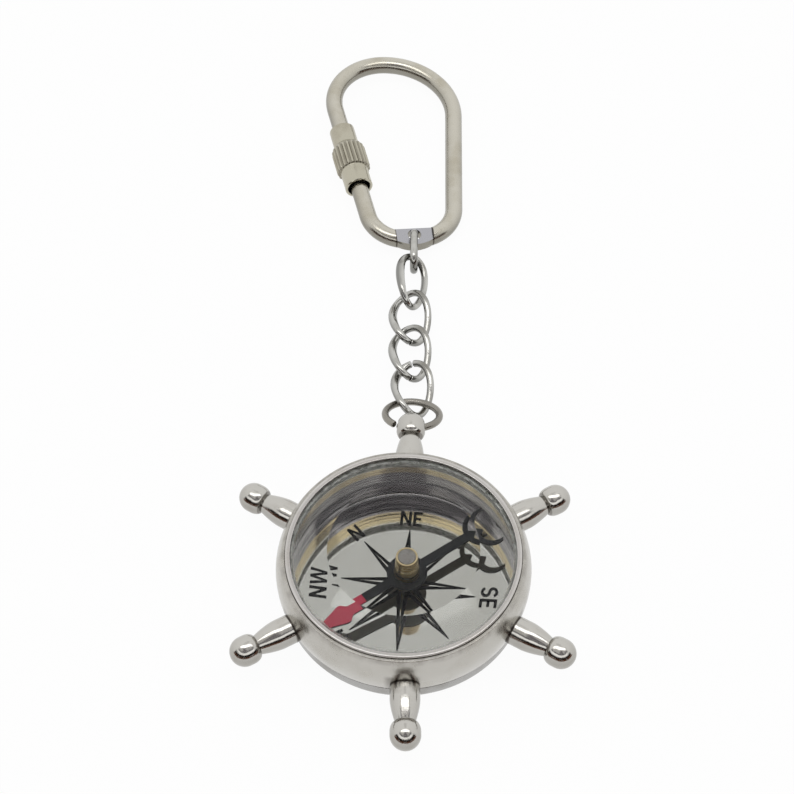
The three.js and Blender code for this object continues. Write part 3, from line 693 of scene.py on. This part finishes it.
# Crystal: a flat round table inside a conical bevel
bevel_rise = math.tan(BEVEL_SLOPE)
crystal_edge = BEZEL_TOP - BEZEL_LIP - FIT_GAP
crystal_top = crystal_edge + (BEZEL_INNER - TABLE_RADIUS) * bevel_rise
crystal_rim = crystal_top - (CRYSTAL_RADIUS - TABLE_RADIUS) * bevel_rise
crystal_profile = [(0, CRYSTAL_BOTTOM), (CRYSTAL_RADIUS, CRYSTAL_BOTTOM),
                   (CRYSTAL_RADIUS, crystal_rim), (TABLE_RADIUS, crystal_top), (0, crystal_top)]
CRYSTAL_SEGMENTS = 288
piece("glass_dome", lathe(crystal_profile, CRYSTAL_SEGMENTS, closed=False), crystal_glass, "compass",
      "crystal", sharp=5)

# Dial, its spacer ring and the pivot
DIAL_SEGMENTS = 160
dial_profile = [(0, DIAL_BOTTOM), (DIAL_RADIUS, DIAL_BOTTOM), (DIAL_RADIUS, DIAL_TOP), (0, DIAL_TOP)]
piece("dial_disc", turned_shell(dial_profile, [0, 0.05, 0.05, 0], DIAL_SEGMENTS), dial_face, "compass",
      "dial_plate")

SPACER_CHAMFER = 0.12
TOOL_MARGIN = 0.5
spacer_bottom = DIAL_TOP + FIT_GAP
spacer_profile = [(SPACER_INNER, spacer_bottom), (SPACER_RADIUS, spacer_bottom),
                  (SPACER_RADIUS, SPACER_TOP), (SPACER_INNER + SPACER_CHAMFER, SPACER_TOP),
                  (SPACER_INNER, SPACER_TOP - SPACER_CHAMFER)]
spacer_rounds = [0.08, 0.04, 0.03, 0.04, 0.04]
tool_height = SPACER_TOP - TOOL_MARGIN
tool_marks = 0
while tool_height > spacer_bottom + TOOL_MARGIN:
    mark = 0.01 + 0.016 * math.sin(7.3 * tool_marks) ** 2
    spacer_profile.append((SPACER_INNER + mark * (tool_marks % 2), tool_height))
    spacer_rounds.append(0)
    tool_height -= 0.15 + 0.3 * math.sin(2.9 * tool_marks) ** 2
    tool_marks += 1
spacer_shell = turned_shell(spacer_profile, spacer_rounds, CASE_SEGMENTS, closed=True)
piece("spacer_wall", spacer_shell, spacer_brass, "compass", "spacer_ring")

on_pivot = Matrix.Translation((PIVOT_X * MM, 0, 0))
pin_base = DIAL_TOP + FIT_GAP
pin_tip = JEWEL_BOTTOM + FIT_GAP
PIN_FLANGE = 1.1
PIN_RADIUS = 0.45
PIN_SEGMENTS = 40
pin_profile = [(0, pin_base), (PIN_FLANGE, pin_base), (PIN_FLANGE, pin_base + 0.3),
               (PIN_RADIUS, pin_base + 0.3), (PIN_RADIUS, pin_tip - 1.05), (0, pin_tip)]
piece("pivot_point", turned_shell(pin_profile, [0, 0.06, 0.08, 0.08, 0.1, 0], PIN_SEGMENTS), pin_steel,
      "compass", "pivot_pin", place=on_pivot)

# Print on the dial: an eight-armed rose and the direction letters
ROSE_REACH = 8.75
ROSE_NORTH = 129.8
ARM_HALF = 1.05
ARM_TIP_HALF = 0.07
WEDGE_REACH = 6.3
WEDGE_HALF = 0.25
ARM_FOOT = 1.3
LETTER_RADIUS = 10.6
LETTER_HEIGHT = 2.4
LETTER_GAP = 0.1
STROKE = 0.17


def letter_n():
    w, s = 0.66, STROKE
    return w, [(0, 0), (s, 0), (s, 0.64), (w - s, 0), (w, 0),
               (w, 1), (w - s, 1), (w - s, 0.36), (s, 1), (0, 1)]


def letter_e():
    w, s = 0.52, STROKE
    low, high = 0.5 - s / 2, 0.5 + s / 2
    return w, [(0, 0), (w, 0), (w, s), (s, s), (s, low), (0.9 * w, low), (0.9 * w, high), (s, high),
               (s, 1 - s), (w, 1 - s), (w, 1), (0, 1)]


def letter_w():
    w, s = 0.98, STROKE
    return w, [(0, 1), (0.19 * w, 0), (0.34 * w, 0), (0.5 * w, 0.68), (0.66 * w, 0), (0.81 * w, 0),
               (w, 1), (w - s, 1), (0.735 * w, 0.3), (0.575 * w, 1), (0.425 * w, 1),
               (0.265 * w, 0.3), (s, 1)]


def letter_s():
    w, s = 0.60, STROKE
    rx, ry = (w - s) / 2, (1 - s) / 4
    line = []
    for k in range(17):
        a = math.radians(20 + 250 * k / 16)
        line.append(Vector((w / 2 + rx * math.cos(a), 1 - s / 2 - ry + ry * math.sin(a))))
    for k in range(1, 17):
        a = math.radians(90 - 250 * k / 16)
        line.append(Vector((w / 2 + rx * math.cos(a), s / 2 + ry + ry * math.sin(a))))
    left, right = [], []
    for k, p in enumerate(line):
        ahead = (line[min(k + 1, len(line) - 1)] - line[max(k - 1, 0)]).normalized()
        across = Vector((-ahead.y, ahead.x)) * s / 2
        left.append(tuple(p + across))
        right.append(tuple(p - across))
    return w, left + right[::-1]


LETTERS = {"N": letter_n, "E": letter_e, "W": letter_w, "S": letter_s}
POINTS = ["N", "NE", "E", "SE", "S", "SW", "W", "NW"]


def dial_print():
    """The rose's arms, each two dark slivers either side of a bare wedge, and the letters."""
    flat = []
    for k, word in enumerate(POINTS):
        a = math.radians(ROSE_NORTH - 45 * k)
        out = Vector((math.cos(a), math.sin(a)))
        right = Vector((math.sin(a), -math.cos(a)))
        outer = ARM_HALF * (1 - ARM_FOOT / ROSE_REACH)
        inner = WEDGE_HALF * (1 - ARM_FOOT / WEDGE_REACH)
        strip = [(ARM_FOOT, inner), (ARM_FOOT, outer), (ROSE_REACH, ARM_TIP_HALF), (ROSE_REACH, 0),
                 (WEDGE_REACH, 0)]
        for side in (-1, 1):
            flat.append([out * r + right * (side * h) for r, h in strip])
        glyphs = [LETTERS[c]() for c in word]
        width = sum(w for w, _ in glyphs) + LETTER_GAP * (len(glyphs) - 1)
        start = -width / 2
        for w, outline in glyphs:
            spots = []
            for x, y in outline:
                across = right * ((start + x) * LETTER_HEIGHT)
                spots.append(out * (LETTER_RADIUS + (y - 0.5) * LETTER_HEIGHT) + across)
            flat.append(spots)
            start += w + LETTER_GAP
    verts, faces = [], []
    for outline in flat:
        spots = [(p.x, p.y) for p in outline]
        some_verts, some_faces = prism(spots, DIAL_TOP + PRINT_FOOT, DIAL_TOP + PRINT_LIFT)
        faces += [[len(verts) + i for i in face] for face in some_faces]
        verts += some_verts
    return verts, faces


piece("dial_print", dial_print(), dial_ink, "compass", None)


# Needle, hub and jewel
def needle_outline():
    """The needle along +X: arrow head, bar, disc round the hub and crescent tail."""
    half = 0.675
    disc = 2.8
    meet = math.acos(half / disc)
    tail = 0.8 - NEEDLE_TIP
    outer, width = 2.77, 0.8
    inner = outer - width / 2
    inner_at = tail - width / 2
    horn = math.radians(100)
    bar_meet = math.asin(half / outer)
    barb_meet = math.asin(half / inner)
    head = [(8.4, half), (8.7, 0.72), (8.95, 0.88), (9.15, 1.08), (9.4, 1.27), (9.68, 1.34),
            (9.95, 1.32), (10.3, 1.23), (13.3, 0.395), (13.44, 0.3), (13.5, 0.13)]
    up = [(NEEDLE_TIP, 0)] + head[::-1]
    up += arc((0, 0), disc, math.pi / 2 - meet, math.pi / 2 + meet, 24)
    up += arc((tail, 0), outer, bar_meet, horn, 20)
    up += arc((inner_at, 0), inner, horn, barb_meet, 20)
    up.append((inner_at + inner - 0.9, 0))
    return up + [(x, -y) for x, y in up[-2:0:-1]]


needle_shell = leaning_plate(needle_outline(), NEEDLE_HEADING, NEEDLE_BOTTOM, NEEDLE_TOP)
needle_obj = piece("needle_plate", needle_shell, needle_black, "needle", "needle",
                   place=on_pivot)
edge_round = needle_obj.modifiers.new("edge", "BEVEL")
edge_round.width = 0.05 * MM
edge_round.segments = 2
edge_round.limit_method = "ANGLE"

HUB_BORE = 0.8
HUB_STEM = 1.25
HUB_FOOT = 1.8
HUB_CROWN = 1.5
JEWEL_RADIUS = 1.2
JEWEL_SAG = 0.02
hub_seat = NEEDLE_TOP + FIT_GAP
jewel_seat = JEWEL_BOTTOM - FIT_GAP
hub_profile = [(HUB_BORE, NEEDLE_BOTTOM), (HUB_STEM, NEEDLE_BOTTOM), (HUB_STEM, hub_seat),
               (HUB_FOOT, hub_seat), (HUB_CROWN, HUB_TOP), (HUB_STEM, HUB_TOP),
               (HUB_STEM, jewel_seat), (HUB_BORE, jewel_seat)]
hub_rounds = [0, 0, 0.03, 0.08, 0.1, 0.04, 0.03, 0.05]
hub_shell = turned_shell(hub_profile, hub_rounds, ROUND_SEGMENTS, closed=True)
piece("hub_collar", hub_shell, hub_brass, "needle", "needle_hub", place=on_pivot)

jewel_profile = [(0, JEWEL_BOTTOM), (JEWEL_RADIUS, JEWEL_BOTTOM),
                 (JEWEL_RADIUS, JEWEL_TOP - JEWEL_SAG), (0, JEWEL_TOP)]
jewel_shell = turned_shell(jewel_profile, [0, 0.04, 0.08, 0], ROUND_SEGMENTS)
piece("jewel_cap", jewel_shell, jewel_grey, "needle", "hub_jewel", place=on_pivot)

# Spokes: each foot is cut to the case wall
SPOKE_TURNS = [-1.9, 0, 0, 1.1, 0, 0]
SPOKE_ROOT = 2.05
SPOKE_WAIST = 1.35
SPOKE_BALL = 2.1
SPOKE_SIDES = 56
HOLE_SIDES = 48
BALL_CENTRE = Vector((0.8123, 24.4865, 5.0))
RING_SIDE = Vector((0.99853, -0.05228, -0.0141)).normalized()
RING_OUT = Vector((0.04072, 0.89662, -0.44092)).normalized()
RING_HOLE = 0.932
RING_BACK = 0.3022


def spoke_shell():
    """A turned spoke along +X: a foot that follows the wall, a taper, a shoulder and a ball."""
    root_end = CASE_RADIUS + 1.8
    shoulder = SPOKE_REACH - 0.5 - SPOKE_NECK
    feet = [(SPOKE_ROOT - 0.12, -0.6), (SPOKE_ROOT - 0.06, 0.07), (SPOKE_ROOT, 0.14)]
    profile = []
    for k in range(19):
        share = k / 18
        radius = SPOKE_ROOT - (SPOKE_ROOT - SPOKE_WAIST) * share ** 1.6
        profile.append((radius, root_end + (SPOKE_NECK - root_end) * share))
    for k in range(1, 15):
        a = math.pi / 2 * k / 14
        radius = SPOKE_WAIST + (SPOKE_BALL - SPOKE_WAIST) * math.sin(a)
        profile.append((radius, SPOKE_NECK + shoulder * (1 - math.cos(a))))
    for k in range(18):
        a = math.pi / 2 * k / 18
        profile.append((SPOKE_BALL * math.cos(a), SPOKE_REACH + SPOKE_BALL * math.sin(a)))
    verts, rows = [], []
    for number, (radius, along) in enumerate(feet + profile):
        row = []
        for k in range(SPOKE_SIDES):
            a = FULL * k / SPOKE_SIDES
            x, y, z = along, radius * math.cos(a), radius * math.sin(a)
            if number < len(feet):
                x += math.sqrt(wall_radius(SPOKE_HEIGHT + z) ** 2 - y ** 2)
            row.append(len(verts))
            verts.append((x, y, z))
        rows.append(row)
    rows.append([len(verts)])
    verts.append((SPOKE_REACH + SPOKE_BALL, 0, 0))
    return verts, skin(rows) + [rows[0][::-1]]


for k in range(6):
    turn = math.pi / 2 + FULL * k / 6 + math.radians(SPOKE_TURNS[k])
    place = Matrix.Translation((0, 0, SPOKE_HEIGHT * MM)) @ Matrix.Rotation(turn, 4, "Z")
    handle = piece(f"handle_{k + 1}", spoke_shell(), spoke_metal, "compass", f"spoke_{k + 1}",
                   place=place)
    if k == 0:
        along = Matrix.Rotation(-turn, 3, "Z") @ RING_SIDE
        stem = Vector((SPOKE_REACH, 0, 0))
        reach = along * (2 * SPOKE_BALL)
        drill = tube([stem - reach, stem + reach], [RING_HOLE, RING_HOLE], HOLE_SIDES)
        carve(handle, drill, "DIFFERENCE")


# Jump ring, curb links and top link
RING_CUT_FROM = math.radians(232)
RING_CUT_TO = math.radians(241)
WIRE_STEPS = 150


def ring_spot(angle):
    """A spot on the jump ring, which hangs in the drilled ball."""
    centre = BALL_CENTRE + RING_OUT * (RING_RADIUS - RING_BACK)
    across = RING_SIDE * (RING_RADIUS * math.cos(angle))
    return centre + across + RING_OUT * (RING_RADIUS * math.sin(angle))


ring_shell = wire(ring_spot, RING_CUT_TO, RING_CUT_FROM + FULL, WIRE_STEPS, RING_WIRE / 2)
piece("ring_wire", ring_shell, ring_metal, "jump_ring", "jump_ring")

LINK_CENTRES = [(0.900, 33.494, 1.889), (0.500, 40.204, 1.757),
                (0.450, 46.954, 1.624), (0.650, 53.204, 2.604)]
LINK_ROLLS = [12, 8, 4, 48]
LINK_YAWS = [0, 0, 0, -4.5]
LINK_TWISTS = [0.95, 0.95, 0.95, 0.304]
LINK_CUTS = [(90, 0.3), (270, 0.12), (270, 0.12), (90, 0.3)]
LINK_LIFTS = [0.52, 0, 0, 0]
LINK_HALF_LENGTH = 4.575
LINK_HALF_WIDTH = 2.725
LINK_SWELL = 0.14


def curb_link(twist, lift, cut_at, cut_gap):
    """An oval wire twisted out of its plane, thicker at the left and cut once."""
    def spot(a):
        across = LINK_HALF_WIDTH * math.cos(a) + 0.7 * LINK_SWELL * left_share(a, lift)
        return (across, LINK_HALF_LENGTH * math.sin(a), twist * math.sin(2 * a))

    gap = cut_gap / LINK_HALF_WIDTH
    start = math.radians(cut_at) + gap / 2
    return wire(spot, start, start + FULL - gap, WIRE_STEPS, LINK_WIRE / 2, swell=LINK_SWELL, lift=lift)


for k in range(4):
    cut_at, cut_gap = LINK_CUTS[k]
    curb = curb_link(LINK_TWISTS[k], LINK_LIFTS[k], cut_at, cut_gap)
    yaw = Matrix.Rotation(math.radians(LINK_YAWS[k]), 4, "Z")
    turn = yaw @ Matrix.Rotation(math.radians(LINK_ROLLS[k]), 4, "Y")
    place = Matrix.Translation(Vector(LINK_CENTRES[k]) * MM) @ turn
    link = f"chain_link_{k + 1}"
    piece(f"curb_{k + 1}", curb, chain_metal, link, link, place=place)

TOP_CENTRE = (0.950, 59.179, 2.465)
TOP_HALF_LENGTH = 3.18
TOP_HALF_HEIGHT = 1.85
TOP_CUT_AT = math.radians(300)
TOP_CUT_GAP = 0.12
TOP_STEPS = 130


def top_spot(a):
    """A spot on the upright oval link."""
    run = (TOP_HALF_LENGTH - TOP_HALF_HEIGHT) * math.tanh(3 * math.cos(a))
    return (0, TOP_HALF_HEIGHT * math.cos(a) + run, TOP_HALF_HEIGHT * math.sin(a))


top_gap = TOP_CUT_GAP / TOP_HALF_LENGTH
top_start = TOP_CUT_AT + top_gap / 2
top_shell = wire(top_spot, top_start, top_start + FULL - top_gap, TOP_STEPS, TOP_LINK_WIRE / 2)
piece("oval_wire", top_shell, chain_metal, "top_link", "top_link",
      place=Matrix.Translation(Vector(TOP_CENTRE) * MM))

# Key clip, drawn flat about its eye and rolled to lie on the table
CLIP_AT = (0.950, 62.109, 2.233)
CLIP_ROLL = math.radians(5)
CLIP_LENGTH = 36.55
SPINE_X = 6.23
GATE_X = 6.26
GATE_LEAN = math.radians(14.6)
EYE_INSET = 0.3
UPPER_END = 18.12
LOWER_END = 21.32
SLEEVE_FROM = 15.72
FOOT_GATE_BEND = 5.8
FOOT_SPINE_BEND = 6.6
TOP_SPINE_BEND = 10.6
TOP_GATE_BEND = 8.7
ROD_STEP = 0.8
ROD_SIDES = 32
EYE_HOLE = 1.05
EYE_TOP = 1.25
EYE_EDGE = -0.95
EYE_BELLY = -2.85
clip_place = Matrix.Translation(Vector(CLIP_AT) * MM) @ Matrix.Rotation(CLIP_ROLL, 4, "Y")

gate_slope = math.tan(GATE_LEAN)
eye_slope = math.tan(EYE_LEAN)
gate_down = Vector((math.sin(GATE_LEAN), -math.cos(GATE_LEAN)))
foot_x = (EYE_INSET * gate_slope - GATE_X) / (1 + eye_slope * gate_slope)
top_gate = Vector((-GATE_X - CLIP_LENGTH * gate_slope, CLIP_LENGTH))
top_spine = Vector((SPINE_X, CLIP_LENGTH))
foot_spine = Vector((SPINE_X, SPINE_X * eye_slope - EYE_INSET))
foot_gate = Vector((foot_x, foot_x * eye_slope - EYE_INSET))


def bend(before, corner, after, radius, steps=26):
    """Points round a bend of the rod."""
    back = (before - corner).normalized()
    on = (after - corner).normalized()
    half = math.acos(back.dot(on)) / 2
    centre = corner + (back + on).normalized() * (radius / math.sin(half))
    start = corner + back * (radius / math.tan(half)) - centre
    turn = math.pi - 2 * half
    spots = []
    for k in range(steps + 1):
        spot = start.copy()
        spot.rotate(Matrix.Rotation(turn * k / steps, 2))
        spots.append(centre + spot)
    return spots


def rod_path():
    """The rod's middle line from the gate's lower end round the foot and top to its upper end."""
    corners = [top_gate + gate_down * LOWER_END]
    corners += bend(top_gate, foot_gate, foot_spine, FOOT_GATE_BEND)
    corners += bend(foot_gate, foot_spine, top_spine, FOOT_SPINE_BEND)
    corners += bend(foot_spine, top_spine, top_gate, TOP_SPINE_BEND)
    corners += bend(top_spine, top_gate, foot_gate, TOP_GATE_BEND)
    corners.append(top_gate + gate_down * UPPER_END)
    spots = []
    for a, b in zip(corners, corners[1:]):
        parts = max(1, int((b - a).length / ROD_STEP))
        spots += [a.lerp(b, k / parts) for k in range(parts)]
    spots.append(corners[-1])
    return [(p.x, p.y, 0) for p in spots]


def eye_outline():
    """The eye's plate: straight above, bellied below."""
    half = EYE_LENGTH / 2
    outline = [(-half, EYE_TOP), (-half, EYE_EDGE)]
    for k in range(1, 25):
        t = k / 24
        low = (1 - t) ** 2 * EYE_EDGE + 2 * t * (1 - t) * EYE_BELLY + t ** 2 * EYE_EDGE
        outline.append((-half + 2 * half * t, low))
    outline.append((half, EYE_TOP))
    return outline


rod_spots = rod_path()
rod_shell = tube(rod_spots, [ROD / 2] * len(rod_spots), ROD_SIDES)
clip_obj = piece("clip_rod", rod_shell, clip_metal, "clip", "clip_frame", place=clip_place)
half = EYE_LENGTH / 2
flat_block = [(-half, -ROD), (half, -ROD), (half, ROD), (-half, ROD)]
for low, high in ((EYE_THICK / 2, ROD), (-ROD, -EYE_THICK / 2)):
    carve(clip_obj, leaning_plate(flat_block, EYE_LEAN, low, high), "DIFFERENCE")
carve(clip_obj, leaning_plate(eye_outline(), EYE_LEAN, -EYE_THICK / 2, EYE_THICK / 2), "UNION")
carve(clip_obj, tube([(0, 0, -ROD), (0, 0, ROD)], [EYE_HOLE, EYE_HOLE], HOLE_SIDES), "DIFFERENCE")

# Lock sleeve: a fluted grip between two plain tubes
SLEEVE_TOP_RADIUS = 2.0
SLEEVE_FOOT_RADIUS = 2.18
SLEEVE_BORE = 1.5
SLEEVE_RECESS = 1.78
GRIP_TAPER = 1.1
GRIP_CHAMFER = 0.35
FLUTES = 22
FLUTE_SIDES = 10


def sleeve_shell():
    """Rings of (radius, way down, share of the flutes), down the outside and up the bore."""
    upper, grip, lower = SLEEVE_TOP_RADIUS, SLEEVE_GRIP_RADIUS, SLEEVE_FOOT_RADIUS
    first = SLEEVE_TOP_LENGTH
    bottom = first + SLEEVE_GRIP_LENGTH
    foot = bottom + SLEEVE_FOOT_LENGTH
    rings = [(SLEEVE_BORE + 0.12, 0, 0), (upper - 0.1, 0, 0), (upper, 0.1, 0), (upper, first - 0.02, 0)]
    for k in range(9):
        share = k / 8
        radius = upper + (grip - upper) * math.sin(share * math.pi / 2)
        rings.append((radius, first + GRIP_TAPER * share, share))
    rings += [(grip, bottom - GRIP_CHAMFER, 1), (grip - 0.12, bottom - 0.1, 0.7),
              (grip - GRIP_CHAMFER, bottom, 0.3), (lower + 0.02, bottom, 0), (lower, bottom + 0.05, 0),
              (lower, foot - 0.1, 0), (lower - 0.08, foot, 0), (SLEEVE_RECESS + 0.08, foot, 0),
              (SLEEVE_RECESS, foot - 0.08, 0), (SLEEVE_RECESS, first + 0.43, 0),
              (SLEEVE_BORE, first, 0), (SLEEVE_BORE, 0.1, 0)]
    sides = FLUTES * FLUTE_SIDES
    verts, rows = [], []
    for radius, down, share in rings:
        row = []
        for k in range(sides):
            a = FULL * k / sides
            valley = 0.5 - 0.5 * math.cos(FLUTES * a)
            r = radius - FLUTE_DEPTH * share * valley ** 0.8
            row.append(len(verts))
            verts.append((r * math.cos(a), r * math.sin(a), -down))
        rows.append(row)
    return verts, skin(rows, wrap_rows=True)


sleeve_top = top_gate + gate_down * SLEEVE_FROM
sleeve_axis = Matrix.Rotation(GATE_LEAN, 4, "Z") @ Matrix.Rotation(-math.pi / 2, 4, "X")
sleeve_spot = Matrix.Translation(Vector((sleeve_top.x, sleeve_top.y, 0)) * MM)
sleeve_place = clip_place @ sleeve_spot @ sleeve_axis
piece("sleeve_grip", sleeve_shell(), sleeve_metal, "sleeve", "lock_sleeve",
      place=sleeve_place)


# Stage: floor, dark and bright cards that show only in gloss, one soft lamp and a white world
def background_rays(tree):
    """1 for the rays that see the background: straight, mirrored or through glass."""
    path = add(tree, "ShaderNodeLightPath").outputs
    either = larger(tree, path["Is Camera Ray"], path["Is Glossy Ray"])
    return larger(tree, either, path["Is Transmission Ray"])


def stage_mesh(name, verts, faces, material):
    """A thing of the stage, in metres."""
    mesh = bpy.data.meshes.new(name)
    mesh.from_pydata(verts, [], faces)
    mesh.materials.append(material)
    obj = linked(name, mesh)
    return obj


FLOOR_HALF = 3.0
FLOOR_DROP = 5e-5
FLOOR_GLOW_SHARE = 0.95
floor_paint, tree = shader("floor_paint")
lift = add(tree, "ShaderNodeEmission", {"Color": WHITE, "Strength": 1.0})
paint = add(tree, "ShaderNodeBsdfDiffuse", {"Color": (0.9, 0.9, 0.9, 1)})
share = product(tree, background_rays(tree), FLOOR_GLOW_SHARE)
blend = add(tree, "ShaderNodeMixShader", {0: share, 1: paint.outputs[0], 2: lift.outputs[0]})
add(tree, "ShaderNodeOutputMaterial", {"Surface": blend.outputs[0]})
sides = ((-1, -1), (1, -1), (1, 1), (-1, 1))
floor_corners = [(x * FLOOR_HALF, y * FLOOR_HALF, -FLOOR_DROP) for x, y in sides]
stage_mesh("floor", floor_corners, [(0, 1, 2, 3)], floor_paint)


def card(name, verts, faces, tone, spread):
    """A card that only mirrored rays see, cloudy from tone to tone times spread.

    It takes no soft light away."""
    material, nodes = shader(name)
    where = add(nodes, "ShaderNodeTexCoord").outputs["Object"]
    patch = noise(nodes, where, 9.0, 3)
    shade = mix(nodes, ramp(nodes, patch, 0.4, 0.7), tone, tuple(c * spread for c in tone))
    scattered = ramp(nodes, add(nodes, "ShaderNodeLightPath").outputs["Diffuse Depth"], 0.4, 0.6)
    shown = mix(nodes, scattered, shade, WHITE[:3])
    glow = add(nodes, "ShaderNodeEmission", {"Color": shown, "Strength": 1.0})
    add(nodes, "ShaderNodeOutputMaterial", {"Surface": glow.outputs[0]})
    obj = stage_mesh(name, verts, faces, material)
    obj.visible_camera = False
    obj.visible_diffuse = False
    obj.visible_shadow = False
    obj.visible_volume_scatter = False


DOME_RADIUS = 0.6
DOME_STEPS = 72
DOME_ROWS = 10


def dome_card(name, first, last, low, high, tone, ragged=0.0, spread=2.2):
    """A card on a dome round the object, between two bearings and two heights in degrees."""
    verts, faces = [], []
    for i in range(DOME_ROWS + 1):
        for k in range(DOME_STEPS + 1):
            a = math.radians(first + (last - first) * k / DOME_STEPS)
            edge = ragged * (math.sin(9 * a) + 0.6 * math.sin(23 * a))
            rise = math.radians(low + (high + edge - low) * i / DOME_ROWS)
            out = DOME_RADIUS * math.cos(rise)
            verts.append((out * math.cos(a), out * math.sin(a), DOME_RADIUS * math.sin(rise)))
    wide = DOME_STEPS + 1
    for i in range(DOME_ROWS):
        for k in range(DOME_STEPS):
            corner = wide * i + k
            faces.append((corner, corner + 1, corner + wide + 1, corner + wide))
    card(name, verts, faces, tone, spread)


# Bearings run from +X towards +Y, so 270 is the camera's side
dome_card("front_low_card", 188, 352, 0.3, 12, (0.11, 0.05, 0.03), 1.5)
dome_card("front_card", 188, 352, 12, 29, (0.016, 0.012, 0.010), 0.9)
dome_card("window_card", 205, 335, 30.5, 45, (1.35, 1.35, 1.35), 0.5, 1.15)
dome_card("camera_card", 186, 354, 46, 54, (0.10, 0.095, 0.105), 0.2)
dome_card("upper_card", 242, 298, 54.8, 84, (0.19, 0.18, 0.19))
dome_card("left_card", 148, 242, 54.8, 84, (0.62, 0.61, 0.60), 0.0, 1.4)
dome_card("right_card", 298, 392, 54.8, 84, (0.48, 0.47, 0.47), 0.0, 1.6)
dome_card("back_card", 76, 106, 56, 70, (0.76, 0.755, 0.75), 0.0, 1.08)

# Camera at the photograph's angle
YAW = math.radians(1.3)
ELEVATION = math.radians(54.6)
ROLL = math.radians(-0.74)
DISTANCE = 0.3118
TARGET = Matrix.Rotation(YAW, 3, "Z") @ (Vector((-0.61, 29.82, 5.0)) * MM)
look = Matrix.Rotation(YAW, 3, "Z") @ Vector((0, math.cos(ELEVATION), -math.sin(ELEVATION)))
right = look.cross(Vector((0, 0, 1))).normalized()
up = right.cross(look)
cam_right = right * math.cos(ROLL) + up * math.sin(ROLL)
cam_up = up * math.cos(ROLL) - right * math.sin(ROLL)
camera_data = bpy.data.cameras.new("camera")
camera_data.sensor_width = 36
camera_data.lens = 97.1
camera_data.clip_start = 0.01
camera_data.clip_end = 20
camera = linked("camera", camera_data)
turn = Matrix((cam_right, cam_up, -look)).transposed().to_4x4()
camera.matrix_world = Matrix.Translation(TARGET - look * DISTANCE) @ turn
bpy.context.scene.camera = camera

LAMP_SPOT = Vector((0, 0.035, 0.52))
LAMP_AIM = Vector((0, 0.03, 0.005))
lamp_data = bpy.data.lights.new("lamp_top", "AREA")
lamp_data.shape = "RECTANGLE"
lamp_data.size = 0.62
lamp_data.size_y = 0.14
lamp_data.energy = 0.6
lamp = linked("lamp_top", lamp_data)
lamp.location = LAMP_SPOT
lamp.rotation_mode = "QUATERNION"
lamp.rotation_quaternion = (LAMP_AIM - LAMP_SPOT).to_track_quat("-Z", "Y")
lamp.visible_camera = False
lamp.visible_transmission = False

SOFT_LIGHT = 0.7
world = bpy.data.worlds.new("world")
bpy.context.scene.world = world
world.use_nodes = True
tree = world.node_tree
tree.nodes.clear()
strength = ramp(tree, background_rays(tree), 0.0, 1.0, SOFT_LIGHT, 1.0, smooth=False)
sky = add(tree, "ShaderNodeBackground", {"Color": WHITE, "Strength": strength})
add(tree, "ShaderNodeOutputWorld", {"Surface": sky.outputs[0]})

bpy.context.scene.view_settings.view_transform = "Standard"
